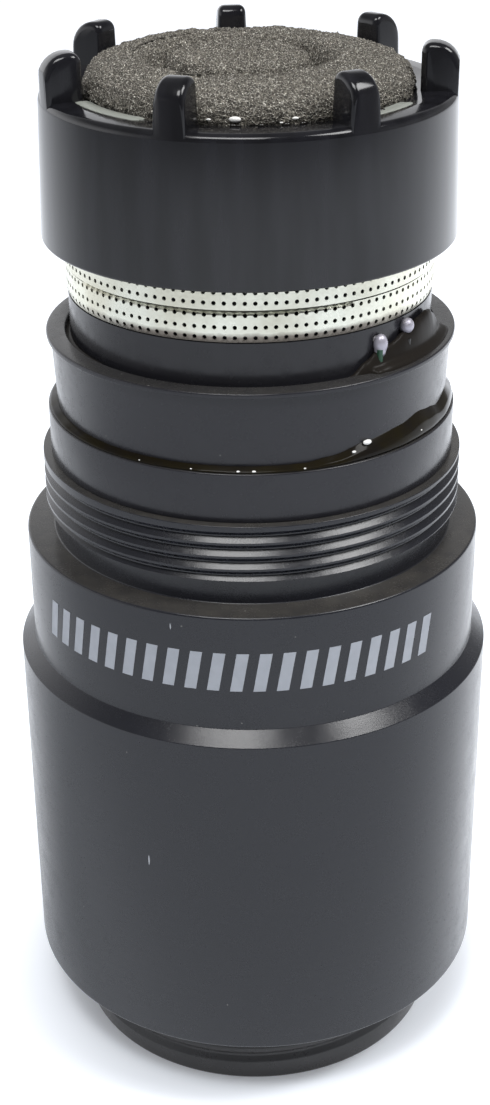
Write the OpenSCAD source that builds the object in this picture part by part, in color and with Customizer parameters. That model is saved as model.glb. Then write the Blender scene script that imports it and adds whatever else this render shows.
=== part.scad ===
// Electret microphone capsule of a handheld microphone, with its grille unscrewed.
// The capsule stands on a two-step mount at the mouth of a turned barrel.
// Origin: centre of the flat foot, +Z up along the axis, -Y is the front.
// A turn is an angle from the front towards +X.

/* [Barrel] */
// Diameter of the lower sleeve
barrel_d = 40; // [39:0.1:44]
// Height of the lower sleeve up to its chamfer
sleeve_h = 30.2; // [26:0.1:36]
// Height of the chamfer between sleeve and collar
step_h = 1.04; // [0.6:0.02:1.4]
// Step in from the sleeve to the collar that carries the print
collar_step = 1.15; // [0.8:0.05:1.6]
// Height of the collar
collar_h = 9.86; // [8:0.1:12]
// Step in from the collar to the grille thread's crests
thread_step = 1.7; // [1.4:0.05:2]
// Depth of the grille thread
thread_depth = 0.6; // [0.3:0.05:0.7]
// Pitch of the grille thread
thread_pitch = 1.1; // [1:0.05:1.4]
// Number of crests on the grille thread
thread_crests = 5; // [3:1:6]
// Height of the plain relief under the grille thread
relief_h = 2.125; // [1.5:0.005:3]
// Wall of the sleeve round the hollow
barrel_wall = 3.8; // [3:0.1:4.4]
// Height of the solid roof between hollow and relief
roof_h = 4.1; // [3:0.1:6]
// Wall between the grille thread's root and the mount's bore
thread_wall = 1.65; // [1.4:0.05:2]
// Step in from the mount's bore to the hollow's neck
neck_step = 0.5; // [0.3:0.05:1]

/* [Base] */
// Step in from the sleeve to the base thread's crests
spigot_step = 3.86; // [3.6:0.02:4.6]
// Height of the base below the barrel
spigot_h = 7; // [6:0.5:9]
// Pitch of the base thread
spigot_pitch = 1.6; // [1.2:0.1:1.8]
// Depth of the base thread
spigot_depth = 0.35; // [0.3:0.05:0.7]
// Depth of the plug that fits in the barrel
plug_h = 8; // [6:0.5:10]
// Wall of the plug
plug_wall = 2.7; // [2:0.1:3]
// Wall of the foot round the contact board's recess
foot_wall = 2.54; // [2:0.02:3]
// Depth of the board's face inside the foot
recess_h = 2.6; // [2.3:0.1:3]
// Thickness of the web above the board
web_h = 3; // [2.5:0.1:4]
// Gap between the leads and the edge of their hole through the web
web_hole_gap = 0.85; // [0.4:0.05:1.2]
// Thickness of the contact board
board_t = 1.6; // [1.2:0.1:1.8]
// Height of the contacts above the board's face
contact_t = 0.25; // [0.1:0.05:0.4]
// Number of screws that hold the board
screw_count = 3; // [2:1:4]
// Head radius of a board screw
screw_head_r = 1.5; // [1.2:0.1:1.6]
// Shank radius of a board screw
screw_r = 0.78; // [0.6:0.02:0.9]

/* [Mount] */
// Step in from the grille thread's crests to the lower mount ring
base_ring_step = 0.67; // [0.5:0.01:0.9]
// Height of the lower mount ring above the barrel
base_ring_h = 3.97; // [3:0.01:5]
// Depth of the lower mount ring's spigot in the barrel
base_ring_spigot_h = 4; // [3:0.1:5]
// Wall of the lower mount ring's spigot
base_ring_wall = 0.95; // [0.8:0.05:1.2]
// Step in from the lower mount ring to the mount cup's foot
cup_step = 0.78; // [0.6:0.02:1]
// Flare of the mount cup from its foot to its lip
cup_flare = 0.3; // [0.1:0.05:0.5]
// Overhang of the mount cup's lip
cup_lip = 0.33; // [0.2:0.01:0.5]
// Wall of the mount cup under its lip
cup_wall = 1.2; // [1:0.05:1.4]
// Height of the mount cup
cup_h = 6.28; // [5.6:0.01:7]
// Height of the mount cup's lip
cup_lip_h = 0.4; // [0.3:0.05:0.8]
// Thickness of the mount cup's floor
cup_floor = 2.63; // [2:0.01:3]
// Width of the mount cup's floor from the well's wall to its hole
cup_ledge = 3.3; // [2.8:0.1:3.6]
// Radial gap of the well between capsule and mount cup
well_gap = 0.4; // [0.3:0.05:0.5]

/* [Capsule body] */
// Height of the plain neck that shows above the mount cup
neck_show = 3.15; // [2.8:0.05:4]
// Wall of the capsule body
body_wall = 1.5; // [1.3:0.05:1.6]
// Height of the seat under the screen strip
port_h = 5.3; // [4.8:0.1:6]
// Height of the flange that carries the crown
flange_h = 6.4; // [6.2:0.1:7]
// Number of sound ports in the body's wall
port_count = 8; // [6:1:9]
// Width of a sound port
port_w = 6; // [4:0.5:7]
// Thickness of the screen strip
strip_t = 0.38; // [0.3:0.02:0.46]
// Thickness of the strip's overlapping second turn
overlap_t = 0.12; // [0.08:0.01:0.2]
// Number of holes in one row of the screen strip
strip_holes = 40; // [24:1:40]
// Diameter of a hole in the screen strip
strip_hole_d = 0.55; // [0.4:0.05:0.65]
// Thickness of the rear cap
rear_cap_t = 1.5; // [1:0.1:2]

/* [Crown] */
// Step out from the capsule's neck to the crown's lower edge
crown_step = 1.84; // [1.6:0.02:2.2]
// Lean-in of the crown's wall from its lower edge to its top
crown_draft = 0.38; // [0:0.02:0.5]
// Depth of the mouth's edge below the ridge of the crown's top
crown_dish = 0.18; // [0:0.02:0.3]
// Drop of the crown's skirt below the flange that carries it
skirt_drop = 0.9; // [0.4:0.1:1.4]
// Thickness of the crown's top round the mouth
crown_top_t = 3.4; // [3:0.1:4]
// Wall of the crown's skirt
crown_wall = 1.04; // [0.8:0.02:1.1]
// Radial width of the crown's top round the mouth
mouth_step = 3.79; // [3.2:0.01:4.2]
// Radius of the rounding outside the crown's top
crown_round = 0.6; // [0.4:0.05:1.1]
// Number of standing tabs
tab_count = 7; // [5:1:9]
// Height of a tab above the crown
tab_h = 3.4; // [2.8:0.1:4]
// Width of a tab at its foot
tab_w = 2.6; // [2.3:0.1:3]
// Width of a tab at its top
tab_top_w = 2.2; // [1.6:0.1:2.3]
// Step from the mouth's edge to a tab
tab_set = 0.56; // [0.3:0.02:1]
// Radius of a tab's outer top corner
tab_round = 2; // [1:0.1:2.2]
// Turn of the first tab
tab_angle = -20.3; // [-30:0.1:30]
// Thickness of the front screen
screen_t = 0.4; // [0.3:0.05:0.5]
// Gap between the crown's mouth and the foam disc
foam_gap = 0.65; // [0.3:0.05:1]
// Height of the foam above the crown at its highest
foam_rise = 2.5; // [2.3:0.1:3]

/* [Element] */
// Wall of the rubber gasket round the element
gasket_wall = 2.85; // [2.4:0.05:3.2]
// Gap between the element's front and the front screen
element_gap = 0.4; // [0.2:0.05:0.6]
// Wall of the element's can
element_wall = 0.4; // [0.3:0.02:0.5]
// Thickness of the diaphragm
film_t = 0.1; // [0.06:0.01:0.14]
// Thickness of the ring that stretches the diaphragm
film_ring_t = 0.5; // [0.4:0.02:0.6]
// Thickness of the spacer between diaphragm and backplate
spacer_t = 0.2; // [0.1:0.02:0.3]
// Thickness of the charged backplate
backplate_t = 1; // [0.8:0.05:1.2]
// Thickness of the amplifier board
amp_t = 1; // [0.8:0.05:1.2]

/* [Leads] */
// Diameter of a capsule lead
lead_d = 0.5; // [0.4:0.02:0.54]
// Turn of the signal lead
signal_angle = 39.9; // [34:0.1:44]
// Turn of the ground lead
ground_angle = 52.3; // [50:0.1:60]
// Height of the adhesive bead round the mount cup's foot
bead_h = 0.6; // [0.4:0.05:0.9]
// Extra height of the bead where it is heaped
bead_heap = 1.6; // [0.8:0.1:2]

/* [Hidden] */
$fn = 96;

// Overrun of every cut, and the clearances between pieces
cut = 0.5;
press_gap = 0.05;
slip_gap = 0.1;
touch_gap = 0.03;
edge_break = 0.2;
lip_break = 0.12;

// Radii of the outside
barrel_r = barrel_d / 2;
collar_r = barrel_r - collar_step;
crest_r = collar_r - thread_step;
root_r = crest_r - thread_depth;
spigot_r = barrel_r - spigot_step;
base_ring_r = crest_r - base_ring_step;
cup_foot_r = base_ring_r - cup_step;
cup_top_r = cup_foot_r + cup_flare;
cup_lip_r = cup_top_r + cup_lip;
well_r = cup_top_r - cup_wall;
neck_r = well_r - well_gap;
crown_r = neck_r + crown_step;
crown_top_r = crown_r - crown_draft;
skirt_r = crown_r - crown_wall;
mouth_r = crown_r - mouth_step;
foam_r = mouth_r - foam_gap;
lead_r = lead_d / 2;

// Thread form: a flat land, two flanks, and a flat root that takes the rest of the pitch
land_share = 0.25;
flank_share = 0.29;
thread_land = thread_pitch * land_share;
thread_flank = thread_pitch * flank_share;

// Heights from the foot upwards
sleeve_z = spigot_h;
step_z = sleeve_z + sleeve_h;
collar_z = step_z + step_h;
relief_z = collar_z + collar_h;
barrel_top = relief_z + relief_h + thread_pitch * (thread_crests - 1) + thread_land;
cup_z = barrel_top + base_ring_h;
neck_z = cup_z + cup_floor;
cup_rim_z = cup_z + cup_h;
port_z = cup_rim_z + neck_show;
flange_z = port_z + port_h;
body_top = flange_z + flange_h;
crown_floor_z = body_top + screen_t;
crown_top = crown_floor_z + crown_top_t;
crown_z = flange_z - skirt_drop;
tab_top = crown_top + tab_h;

// Hollow of the barrel, from the plug's socket up to the mount's bore
socket_step = 0.8;
hollow_r = barrel_r - barrel_wall;
socket_r = hollow_r + socket_step;
socket_top = sleeve_z + plug_h;
hollow_top = relief_z - roof_h;
mount_bore_r = root_r - thread_wall;
neck_bore_r = mount_bore_r - neck_step;
base_ring_bore_r = mount_bore_r - press_gap - base_ring_wall;
mount_shoulder_z = barrel_top - base_ring_spigot_h;

// Base with its contact board
board_z = recess_h;
board_top = board_z + board_t;
web_top = board_top + web_h;
plug_r = socket_r - press_gap;
recess_r = spigot_r - foot_wall;
spigot_groove = 0.3;
spigot_grooves = floor((spigot_h - spigot_groove - edge_break) / spigot_pitch);
pad_share = 0.162;
contact_w_share = 0.118;
contact_gap_share = 0.125;
pad_r = recess_r * pad_share;
contact_w = recess_r * contact_w_share;
contact_gap = recess_r * contact_gap_share;
ground_end_r = pad_r + contact_gap;
web_hole_r = ground_end_r + lead_r + web_hole_gap;
inner_contact_r = pad_r + contact_gap + contact_w;
outer_contact_r = inner_contact_r + contact_gap + contact_w;
screw_circle_r = (outer_contact_r + recess_r) / 2;
screw_head_h = 0.9;
screw_crown = 0.3;
screw_cross_w = 0.4;
screw_cross_h = 0.5;
screw_cross_l = 2 * (screw_head_r - screw_cross_w);
screw_bite_share = 0.75;
screw_bite = web_h * screw_bite_share;

// Mount cup and its wells for the leads
cup_hole_r = well_r - cup_ledge;
cup_boss_h = 1.5;
lead_gap = 0.3;
lead_track_r = neck_r + lead_gap + lead_r;
slot_gap = 0.15;
slot_w = lead_d + 2 * slot_gap;
slot_r = lead_track_r + lead_r + slot_gap;

// Capsule body
bore_r = neck_r - body_wall;
gasket_lip_t = 0.6;
element_r = bore_r - press_gap - gasket_wall;
element_h = flange_h - gasket_lip_t - element_gap;
strip_seat = 0.3;
strip_seat_r = neck_r - strip_seat;
flange_r = skirt_r - press_gap;
cap_seat = 0.25;
cap_seat_r = bore_r + cap_seat;
cap_seat_h = rear_cap_t + slip_gap;
shelf_t = 0.8;
shelf_w = 1.9;
shelf_r = bore_r - shelf_w;
port_sill = 0.7;
vent_r = 1;

// Screen strip: one turn and an overlapping turn from the seam upwards
strip_in_r = strip_seat_r + touch_gap;
strip_r = strip_in_r + strip_t;
strip_out_r = strip_r + overlap_t;
strip_top_share = 0.92;
strip_seam_share = 0.45;
strip_row_shares = [0.13, 0.32, 0.64];
strip_top = port_z + port_h * strip_top_share;
strip_seam = port_z + port_h * strip_seam_share;

// Felt behind the ports
felt_t = 0.4;
felt_drop = 0.3;

// Terminals and solder
pin_r = 0.25;
pin_drop = 0.9;
pin_z = port_z - pin_drop;
pin_in = 0.8;
solder_r = 0.5;
solder_h = 1.5;
solder_taper = 0.3;
solder_z = pin_z - solder_h / 2 + touch_gap;

// Element, stacked down from the can's front and up from its crimped rear
gasket_lip_w = 0.8;
element_z = flange_z + gasket_lip_t;
element_top = element_z + element_h;
crimp_t = 0.3;
crimp_w = 0.6;
stack_r = element_r - element_wall - touch_gap;
film_ring_z = element_top - element_wall - film_ring_t;
film_z = film_ring_z - film_t;
spacer_z = film_z - spacer_t;
backplate_z = spacer_z - backplate_t;
amp_z = element_z + crimp_t;
amp_top = amp_z + amp_t;
film_ring_w = 1.2;
spacer_w = 1;
backplate_gap_share = 0.11;
backplate_r = stack_r * (1 - backplate_gap_share);
holder_ledge = 0.8;
holder_ledge_w = 1.1;
gate_r_share = 0.62;
gate_r = stack_r * gate_r_share;
gate_wall = 0.8;
sound_hole_r = 0.8;
sound_circle_share = 0.5;
backplate_hole_r = 0.5;
chip_w = 3;
chip_d = 2.4;
chip_h_share = 0.58;
chip_h = (backplate_z - amp_top) * chip_h_share;

// Front screen: a centre hole and three rings of six, twelve and eighteen
screen_hole_r = 0.7;
screen_pitch = 2.9;
screen_rings = 3;

// Crown: a land that dips to the mouth and falls away a little to the outer rounding
crown_fall = 0.06;
crown_land_share = 0.47;
crown_land = mouth_step * crown_land_share;
mouth_round = 0.3;
tab_nose = 0.4;
tab_draft = 0.25;
tab_out_r = sqrt(pow(crown_top_r, 2) - pow(tab_w / 2, 2)) - touch_gap;
tab_in_r = mouth_r + tab_set;
tab_deep = tab_out_r - tab_in_r;
tab_foot = crown_top - crown_fall - crown_round - edge_break;

// Foam: a rounded shoulder and a pressed ring round the middle
foam_shoulder = 2.3;
foam_peak = crown_top + foam_rise;
crease_r_share = 0.475;
crease_w_share = 0.1;
crease_r = foam_r * crease_r_share;
crease_w = foam_r * crease_w_share;
crease_deep = 0.9;
foam_dome = 0.15;

// Heap of adhesive at the right of the mount cup's foot
heap_angle = 60;
heap_half_angle = 30;
bead_steps = 72;
bead_out = 0.06;
bead_low_share = 0.25;
bead_high_share = 0.75;

// Steps along a lead and corners round it
lead_sides = 8;
lead_straight_steps = 6;
lead_bend_steps = 10;
lead_fall_steps = 32;

// Points of an arc about (x, y), from angle a0 to a1
function arc_points(x, y, r, a0, a1, n = 8) =
    [for (i = [0:n]) let (a = a0 + (a1 - a0) * i / n) [x + r * cos(a), y + r * sin(a)]];

// Upward run of thread ridges that ends with a land at top_z
function ridge_points(top_z) =
    [for (i = [thread_crests - 1:-1:0]) let (z = top_z - i * thread_pitch)
        each [
            [root_r, z - thread_land - thread_flank],
            [crest_r, z - thread_land],
            [crest_r, z],
            if (i > 0) [root_r, z + thread_flank]
        ]];

// Upward run of the base thread's V grooves
function groove_points() =
    [for (i = [1:spigot_grooves]) let (z = i * spigot_pitch)
        each [
            [spigot_r, z - spigot_groove],
            [spigot_r - spigot_depth, z],
            [spigot_r, z + spigot_groove]
        ]];

// Smooth S-bend between two points of a plane through the axis
function s_bend(from, to, n) =
    [for (i = [1:n]) let (t = i / n, s = t * t * (3 - 2 * t))
        [from[0] + (to[0] - from[0]) * s, from[1] + (to[1] - from[1]) * t]];

// Straight run between two points of a plane through the axis
function straight(from, to, n) =
    [for (i = [1:n]) let (t = i / n) from + (to - from) * t];

// Turns what follows from the +X side of the axis to a turn from the front
module at_turn(turn) {
    rotate([0, 0, turn - 90])
        children();
}

// Ring of rectangular section
module ring(outer_r, inner_r, z0, z1) {
    translate([0, 0, z0])
        rotate_extrude()
            translate([inner_r, 0])
                square([outer_r - inner_r, z1 - z0]);
}

// Disc between two heights
module disc(r, z0, z1) {
    translate([0, 0, z0])
        cylinder(r = r, h = z1 - z0);
}

// Round rod along the radius at a height
module radial_rod(r, from_r, to_r, z) {
    translate([from_r, 0, z])
        rotate([0, 90, 0])
            cylinder(r = r, h = to_r - from_r, $fn = 24);
}

// Round wire swept along points of a plane through the axis
module wire(points, d) {
    last = len(points) - 1;
    rings = [for (i = [0:last])
        let (
            ahead = points[min(i + 1, last)] - points[max(i - 1, 0)],
            along = ahead / norm(ahead)
        )
        for (k = [0:lead_sides - 1])
            let (a = 360 * k / lead_sides)
            [
                points[i][0] + d / 2 * cos(a) * along[1],
                d / 2 * sin(a),
                points[i][1] - d / 2 * cos(a) * along[0]
            ]];
    sides = [for (i = [0:last - 1], k = [0:lead_sides - 1])
        let (next = (k + 1) % lead_sides)
        [
            i * lead_sides + k,
            (i + 1) * lead_sides + k,
            (i + 1) * lead_sides + next,
            i * lead_sides + next
        ]];
    start_cap = [for (k = [0:lead_sides - 1]) k];
    end_cap = [for (k = [lead_sides - 1:-1:0]) last * lead_sides + k];
    polyhedron(points = rings, faces = concat(sides, [start_cap, end_cap]), convexity = 4);
}

// Turned barrel: sleeve, chamfer, printed collar and grille thread, bored through
module barrel() {
    color("#2b2b2e")
        rotate_extrude()
            polygon(concat(
                [
                    [socket_r, sleeve_z],
                    [barrel_r - edge_break, sleeve_z],
                    [barrel_r, sleeve_z + edge_break],
                    [barrel_r, step_z],
                    [collar_r, collar_z]
                ],
                arc_points(collar_r - edge_break, relief_z - edge_break, edge_break, 0, 90, 4),
                [[root_r, relief_z]],
                ridge_points(barrel_top),
                [
                    [mount_bore_r, barrel_top],
                    [mount_bore_r, mount_shoulder_z],
                    [neck_bore_r, mount_shoulder_z],
                    [neck_bore_r, hollow_top],
                    [hollow_r, hollow_top],
                    [hollow_r, socket_top],
                    [socket_r, socket_top]
                ]
            ));
}

// Moulded base: threaded spigot, plug for the barrel and a web over the contact board
module base_spigot() {
    color("#1f1f21")
        difference() {
            rotate_extrude()
                polygon(concat(
                    [
                        [recess_r, 0],
                        [spigot_r - edge_break, 0],
                        [spigot_r, edge_break]
                    ],
                    groove_points(),
                    [
                        [spigot_r, sleeve_z],
                        [plug_r, sleeve_z],
                        [plug_r, socket_top],
                        [plug_r - plug_wall, socket_top],
                        [plug_r - plug_wall, web_top],
                        [web_hole_r, web_top],
                        [web_hole_r, board_top],
                        [recess_r, board_top]
                    ]
                ));
            at_screws()
                disc(screw_r + touch_gap, board_top - cut, board_top + screw_bite + slip_gap);
        }
}

// Places what follows at each board screw
module at_screws() {
    for (i = [0:screw_count - 1])
        rotate([0, 0, 360 * i / screw_count])
            translate([screw_circle_r, 0, 0])
                children();
}

// Contact board in the foot
module contact_board() {
    color("#1d4a2c")
        difference() {
            disc(recess_r - slip_gap, board_z, board_top);
            at_screws()
                disc(screw_r + slip_gap, board_z - cut, board_top + cut);
        }
}

// Outer contact ring on the board's face
module contact_ring_outer() {
    color("#c9a24a")
        ring(outer_contact_r, outer_contact_r - contact_w, board_z - contact_t, board_z);
}

// Inner contact ring on the board's face
module contact_ring_inner() {
    color("#c9a24a")
        ring(inner_contact_r, inner_contact_r - contact_w, board_z - contact_t, board_z);
}

// Centre contact on the board's face
module contact_pad() {
    color("#c9a24a")
        disc(pad_r, board_z - contact_t, board_z);
}

// Screws that hold the board to the web
module board_screws() {
    color("#b9bbbd")
        at_screws()
            difference() {
                rotate_extrude($fn = 48)
                    polygon([
                        [0, board_z - screw_head_h],
                        [screw_head_r - screw_crown, board_z - screw_head_h],
                        [screw_head_r, board_z - screw_head_h + screw_crown],
                        [screw_head_r, board_z],
                        [screw_r, board_z],
                        [screw_r, board_top + screw_bite],
                        [0, board_top + screw_bite]
                    ]);
                for (turn = [0, 90])
                    rotate([0, 0, turn])
                        translate([0, 0, board_z - screw_head_h])
                            cube([screw_cross_l, screw_cross_w, 2 * screw_cross_h], center = true);
            }
}

// Lower mount ring: a flange on the barrel's rim and a spigot in its bore
module mount_base_ring() {
    color("#26272a")
        rotate_extrude()
            polygon(concat(
                [
                    [base_ring_bore_r, mount_shoulder_z],
                    [mount_bore_r - press_gap, mount_shoulder_z],
                    [mount_bore_r - press_gap, barrel_top],
                    [base_ring_r, barrel_top]
                ],
                arc_points(base_ring_r - edge_break, cup_z - edge_break, edge_break, 0, 90, 4),
                [[base_ring_bore_r, cup_z]]
            ));
}

// Mount cup: drafted wall with a thin lip, a floor under the capsule, and slots for the leads
module mount_cup() {
    color("#2c2d30")
        difference() {
            rotate_extrude()
                polygon(concat(
                    [
                        [cup_hole_r, cup_z - cup_boss_h],
                        [base_ring_bore_r - press_gap, cup_z - cup_boss_h],
                        [base_ring_bore_r - press_gap, cup_z],
                        [cup_foot_r, cup_z],
                        [cup_top_r, cup_rim_z - cup_lip_h],
                        [cup_lip_r, cup_rim_z - cup_lip_h]
                    ],
                    arc_points(cup_lip_r - lip_break, cup_rim_z - lip_break, lip_break, 0, 90, 4),
                    [
                        [well_r, cup_rim_z],
                        [well_r, neck_z],
                        [cup_hole_r, neck_z]
                    ]
                ));
            for (turn = [signal_angle, ground_angle])
                at_turn(turn)
                    translate([cup_hole_r - cut, -slot_w / 2, cup_z - cup_boss_h - cut])
                        cube([slot_r - cup_hole_r + cut, slot_w, cup_boss_h + cup_h + 2 * cut]);
        }
}

// Radius of the mount cup's drafted wall at a height above its foot
function cup_wall_r(h) = cup_foot_r + (cup_top_r - cup_foot_r) * h / (cup_h - cup_lip_h);

// Height of the adhesive at a turn: an even bead with one smooth heap
function bead_height(turn) =
    let (off = (turn - heap_angle) / heap_half_angle)
    bead_h + (abs(off) < 1 ? bead_heap * pow(cos(90 * off), 2) : 0);

// Section of the adhesive between the cup's wall and the lower ring's face
function bead_section(h) = [
    [cup_wall_r(0) + touch_gap, cup_z],
    [base_ring_r - edge_break, cup_z],
    [base_ring_r - edge_break + bead_out, cup_z + h * bead_low_share],
    [(base_ring_r + cup_wall_r(h)) / 2, cup_z + h * bead_high_share],
    [cup_wall_r(h) + touch_gap, cup_z + h]
];

// Adhesive squeezed out round the mount cup's foot
module adhesive_bead() {
    corners = len(bead_section(bead_h));
    ring_points = [for (i = [0:bead_steps - 1])
        let (turn = 360 * i / bead_steps)
        for (p = bead_section(bead_height(turn)))
            [p[0] * sin(turn), -p[0] * cos(turn), p[1]]];
    skin = [for (i = [0:bead_steps - 1], k = [0:corners - 1])
        let (
            this_ring = i * corners,
            next_ring = ((i + 1) % bead_steps) * corners,
            next = (k + 1) % corners
        )
        each [
            [this_ring + k, next_ring + next, next_ring + k],
            [this_ring + k, this_ring + next, next_ring + next]
        ]];
    color("#141415")
        polyhedron(points = ring_points, faces = skin, convexity = 4);
}

// Capsule body: neck, seat for the screen strip with sound ports, and the crown's flange
module capsule_body() {
    port_top = flange_z - shelf_t;
    color("#1b1b1d")
        difference() {
            rotate_extrude()
                polygon([
                    [cap_seat_r, neck_z],
                    [neck_r, neck_z],
                    [neck_r, port_z],
                    [strip_seat_r, port_z],
                    [strip_seat_r, flange_z],
                    [flange_r, flange_z],
                    [flange_r, body_top],
                    [bore_r, body_top],
                    [bore_r, flange_z],
                    [shelf_r, flange_z],
                    [shelf_r, port_top],
                    [bore_r, port_top],
                    [bore_r, neck_z + cap_seat_h],
                    [cap_seat_r, neck_z + cap_seat_h]
                ]);
            for (i = [0:port_count - 1])
                rotate([0, 0, 360 * i / port_count])
                    translate([bore_r - cut, -port_w / 2, port_z + port_sill])
                        cube([body_wall + 2 * cut, port_w, port_top - port_z - 2 * port_sill]);
            for (turn = [signal_angle, ground_angle])
                at_turn(turn)
                    radial_rod(pin_r + touch_gap, bore_r - cut, neck_r + cut, pin_z);
        }
}

// Cap that closes the rear of the capsule body, with a small vent
module rear_cap() {
    color("#232326")
        difference() {
            disc(cap_seat_r - press_gap, neck_z, neck_z + rear_cap_t);
            disc(vent_r, neck_z - cut, neck_z + rear_cap_t + cut);
        }
}

// Felt sleeve inside the sound ports
module port_felt() {
    color("#3a3a3c")
        ring(bore_r - touch_gap, bore_r - felt_t, port_z - felt_drop, flange_z - shelf_t);
}

// Height of a row of holes at a share of the strip's seat
function row_z(share) = port_z + port_h * share;

// Perforated strip round the ports, its second turn overlapping above the seam
module port_screen() {
    color("#cfccc0")
        difference() {
            rotate_extrude()
                polygon([
                    [strip_in_r, port_z],
                    [strip_r, port_z],
                    [strip_r, strip_seam],
                    [strip_out_r, strip_seam],
                    [strip_out_r, strip_top],
                    [strip_in_r, strip_top]
                ]);
            for (share = strip_row_shares, i = [0:strip_holes - 1])
                at_turn(360 * i / strip_holes)
                    radial_rod(strip_hole_d / 2, strip_in_r - cut, strip_out_r + cut, row_z(share));
        }
}

// Terminal pins through the body's wall
module terminal_pins() {
    color("#c8c9ca")
        for (turn = [signal_angle, ground_angle])
            at_turn(turn)
                radial_rod(pin_r, bore_r - pin_in, lead_track_r - solder_r - touch_gap, pin_z);
}

// Solder beads that join the pins to the leads
module solder_joints() {
    color("#d9dadc")
        for (turn = [signal_angle, ground_angle])
            at_turn(turn)
                translate([lead_track_r, 0, solder_z])
                    rotate_extrude($fn = 32)
                        polygon(concat(
                            [
                                [0, 0],
                                [solder_r - solder_taper / 2, 0],
                                [solder_r, solder_taper]
                            ],
                            arc_points(0, solder_h - solder_r, solder_r, 0, 90, 6)
                        ));
}

// Route of a lead: down the well, under the body, down the barrel and on to the board
function lead_route(end_r) =
    let (
        top = [lead_track_r, solder_z],
        bend = [lead_track_r, neck_z + slot_w],
        under = [base_ring_bore_r - slot_w, cup_z - slot_w],
        mouth = [under[0], hollow_top],
        entry = [end_r, web_top + slot_w],
        foot = [end_r, board_top]
    )
    concat(
        [top],
        straight(top, bend, lead_straight_steps),
        s_bend(bend, under, lead_bend_steps),
        straight(under, mouth, lead_straight_steps),
        s_bend(mouth, entry, lead_fall_steps),
        straight(entry, foot, lead_straight_steps)
    );

// Signal lead from its solder bead to the contact board
module lead_signal() {
    color("#1c3b2a")
        at_turn(signal_angle)
            wire(lead_route(pad_r), lead_d);
}

// Ground lead from its solder bead to the contact board
module lead_ground() {
    color("#202022")
        at_turn(ground_angle)
            wire(lead_route(ground_end_r), lead_d);
}

// Short leads from the pins to the amplifier board
module inner_leads() {
    start = [bore_r - pin_in - lead_r - touch_gap, pin_z];
    bend = [gate_r, flange_z - shelf_t];
    top = [gate_r, amp_z];
    color("#7a2020")
        for (turn = [signal_angle, ground_angle])
            at_turn(turn)
                wire(concat([start], s_bend(start, bend, lead_bend_steps), straight(bend, top, 2)), lead_d);
}

// Rubber gasket that holds the element in the body
module element_gasket() {
    color("#19191a")
        rotate_extrude()
            polygon([
                [element_r - gasket_lip_w, flange_z],
                [bore_r - press_gap, flange_z],
                [bore_r - press_gap, element_top],
                [element_r + touch_gap, element_top],
                [element_r + touch_gap, element_z],
                [element_r - gasket_lip_w, element_z]
            ]);
}

// Places what follows six times on a circle
module six_round(r) {
    for (i = [0:5])
        rotate([0, 0, 60 * i])
            translate([r, 0, 0])
                children();
}

// Drawn can of the electret element, open at the crimped rear, with sound holes in its front
module element_can() {
    color("#b7babd")
        difference() {
            rotate_extrude()
                polygon([
                    [0, element_top - element_wall],
                    [element_r - element_wall, element_top - element_wall],
                    [element_r - element_wall, element_z + crimp_t],
                    [element_r - element_wall - crimp_w, element_z + crimp_t],
                    [element_r - element_wall - crimp_w, element_z],
                    [element_r, element_z],
                    [element_r, element_top],
                    [0, element_top]
                ]);
            disc(sound_hole_r, element_top - element_wall - cut, element_top + cut);
            six_round(element_r * sound_circle_share)
                disc(sound_hole_r, element_top - element_wall - cut, element_top + cut);
        }
}

// Brass ring that stretches the diaphragm
module diaphragm_ring() {
    color("#b98f3e")
        ring(stack_r, stack_r - film_ring_w, film_ring_z, film_ring_z + film_ring_t);
}

// Metallised film
module diaphragm() {
    color("#d8d2b8")
        disc(stack_r, film_z, film_z + film_t);
}

// Plastic spacer that keeps the film off the backplate
module spacer_ring() {
    color("#d9d9d2")
        ring(stack_r, stack_r - spacer_w, spacer_z, spacer_z + spacer_t);
}

// Charged backplate with pressure holes
module backplate() {
    color("#c2a35a")
        difference() {
            disc(backplate_r, backplate_z, backplate_z + backplate_t);
            disc(backplate_hole_r, backplate_z - cut, backplate_z + backplate_t + cut);
            six_round(backplate_r * sound_circle_share)
                disc(backplate_hole_r, backplate_z - cut, backplate_z + backplate_t + cut);
        }
}

// Insulating cup that holds the backplate off the can
module backplate_holder() {
    color("#e3e1d8")
        rotate_extrude()
            polygon([
                [backplate_r - holder_ledge_w, backplate_z - holder_ledge],
                [backplate_r + touch_gap, backplate_z - holder_ledge],
                [backplate_r + touch_gap, amp_top],
                [stack_r, amp_top],
                [stack_r, spacer_z],
                [backplate_r + touch_gap, spacer_z],
                [backplate_r + touch_gap, backplate_z],
                [backplate_r - holder_ledge_w, backplate_z]
            ]);
}

// Brass ring that joins the backplate to the amplifier board
module gate_ring() {
    color("#b98f3e")
        ring(gate_r, gate_r - gate_wall, amp_top, backplate_z);
}

// Amplifier board, held by the can's crimped edge
module amplifier_board() {
    color("#1f5a36")
        disc(stack_r, amp_z, amp_top);
}

// Amplifier chip on the board
module amplifier_chip() {
    color("#111112")
        translate([-chip_w / 2, -chip_d / 2, amp_top])
            cube([chip_w, chip_d, chip_h]);
}

// Perforated disc under the foam
module front_screen() {
    color("#a9abad")
        difference() {
            disc(skirt_r - slip_gap, body_top, crown_floor_z);
            disc(screen_hole_r, body_top - cut, crown_floor_z + cut);
            for (i = [1:screen_rings], k = [0:6 * i - 1])
                rotate([0, 0, 60 * k / i])
                    translate([screen_pitch * i, 0, 0])
                        disc(screen_hole_r, body_top - cut, crown_floor_z + cut);
        }
}

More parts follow.
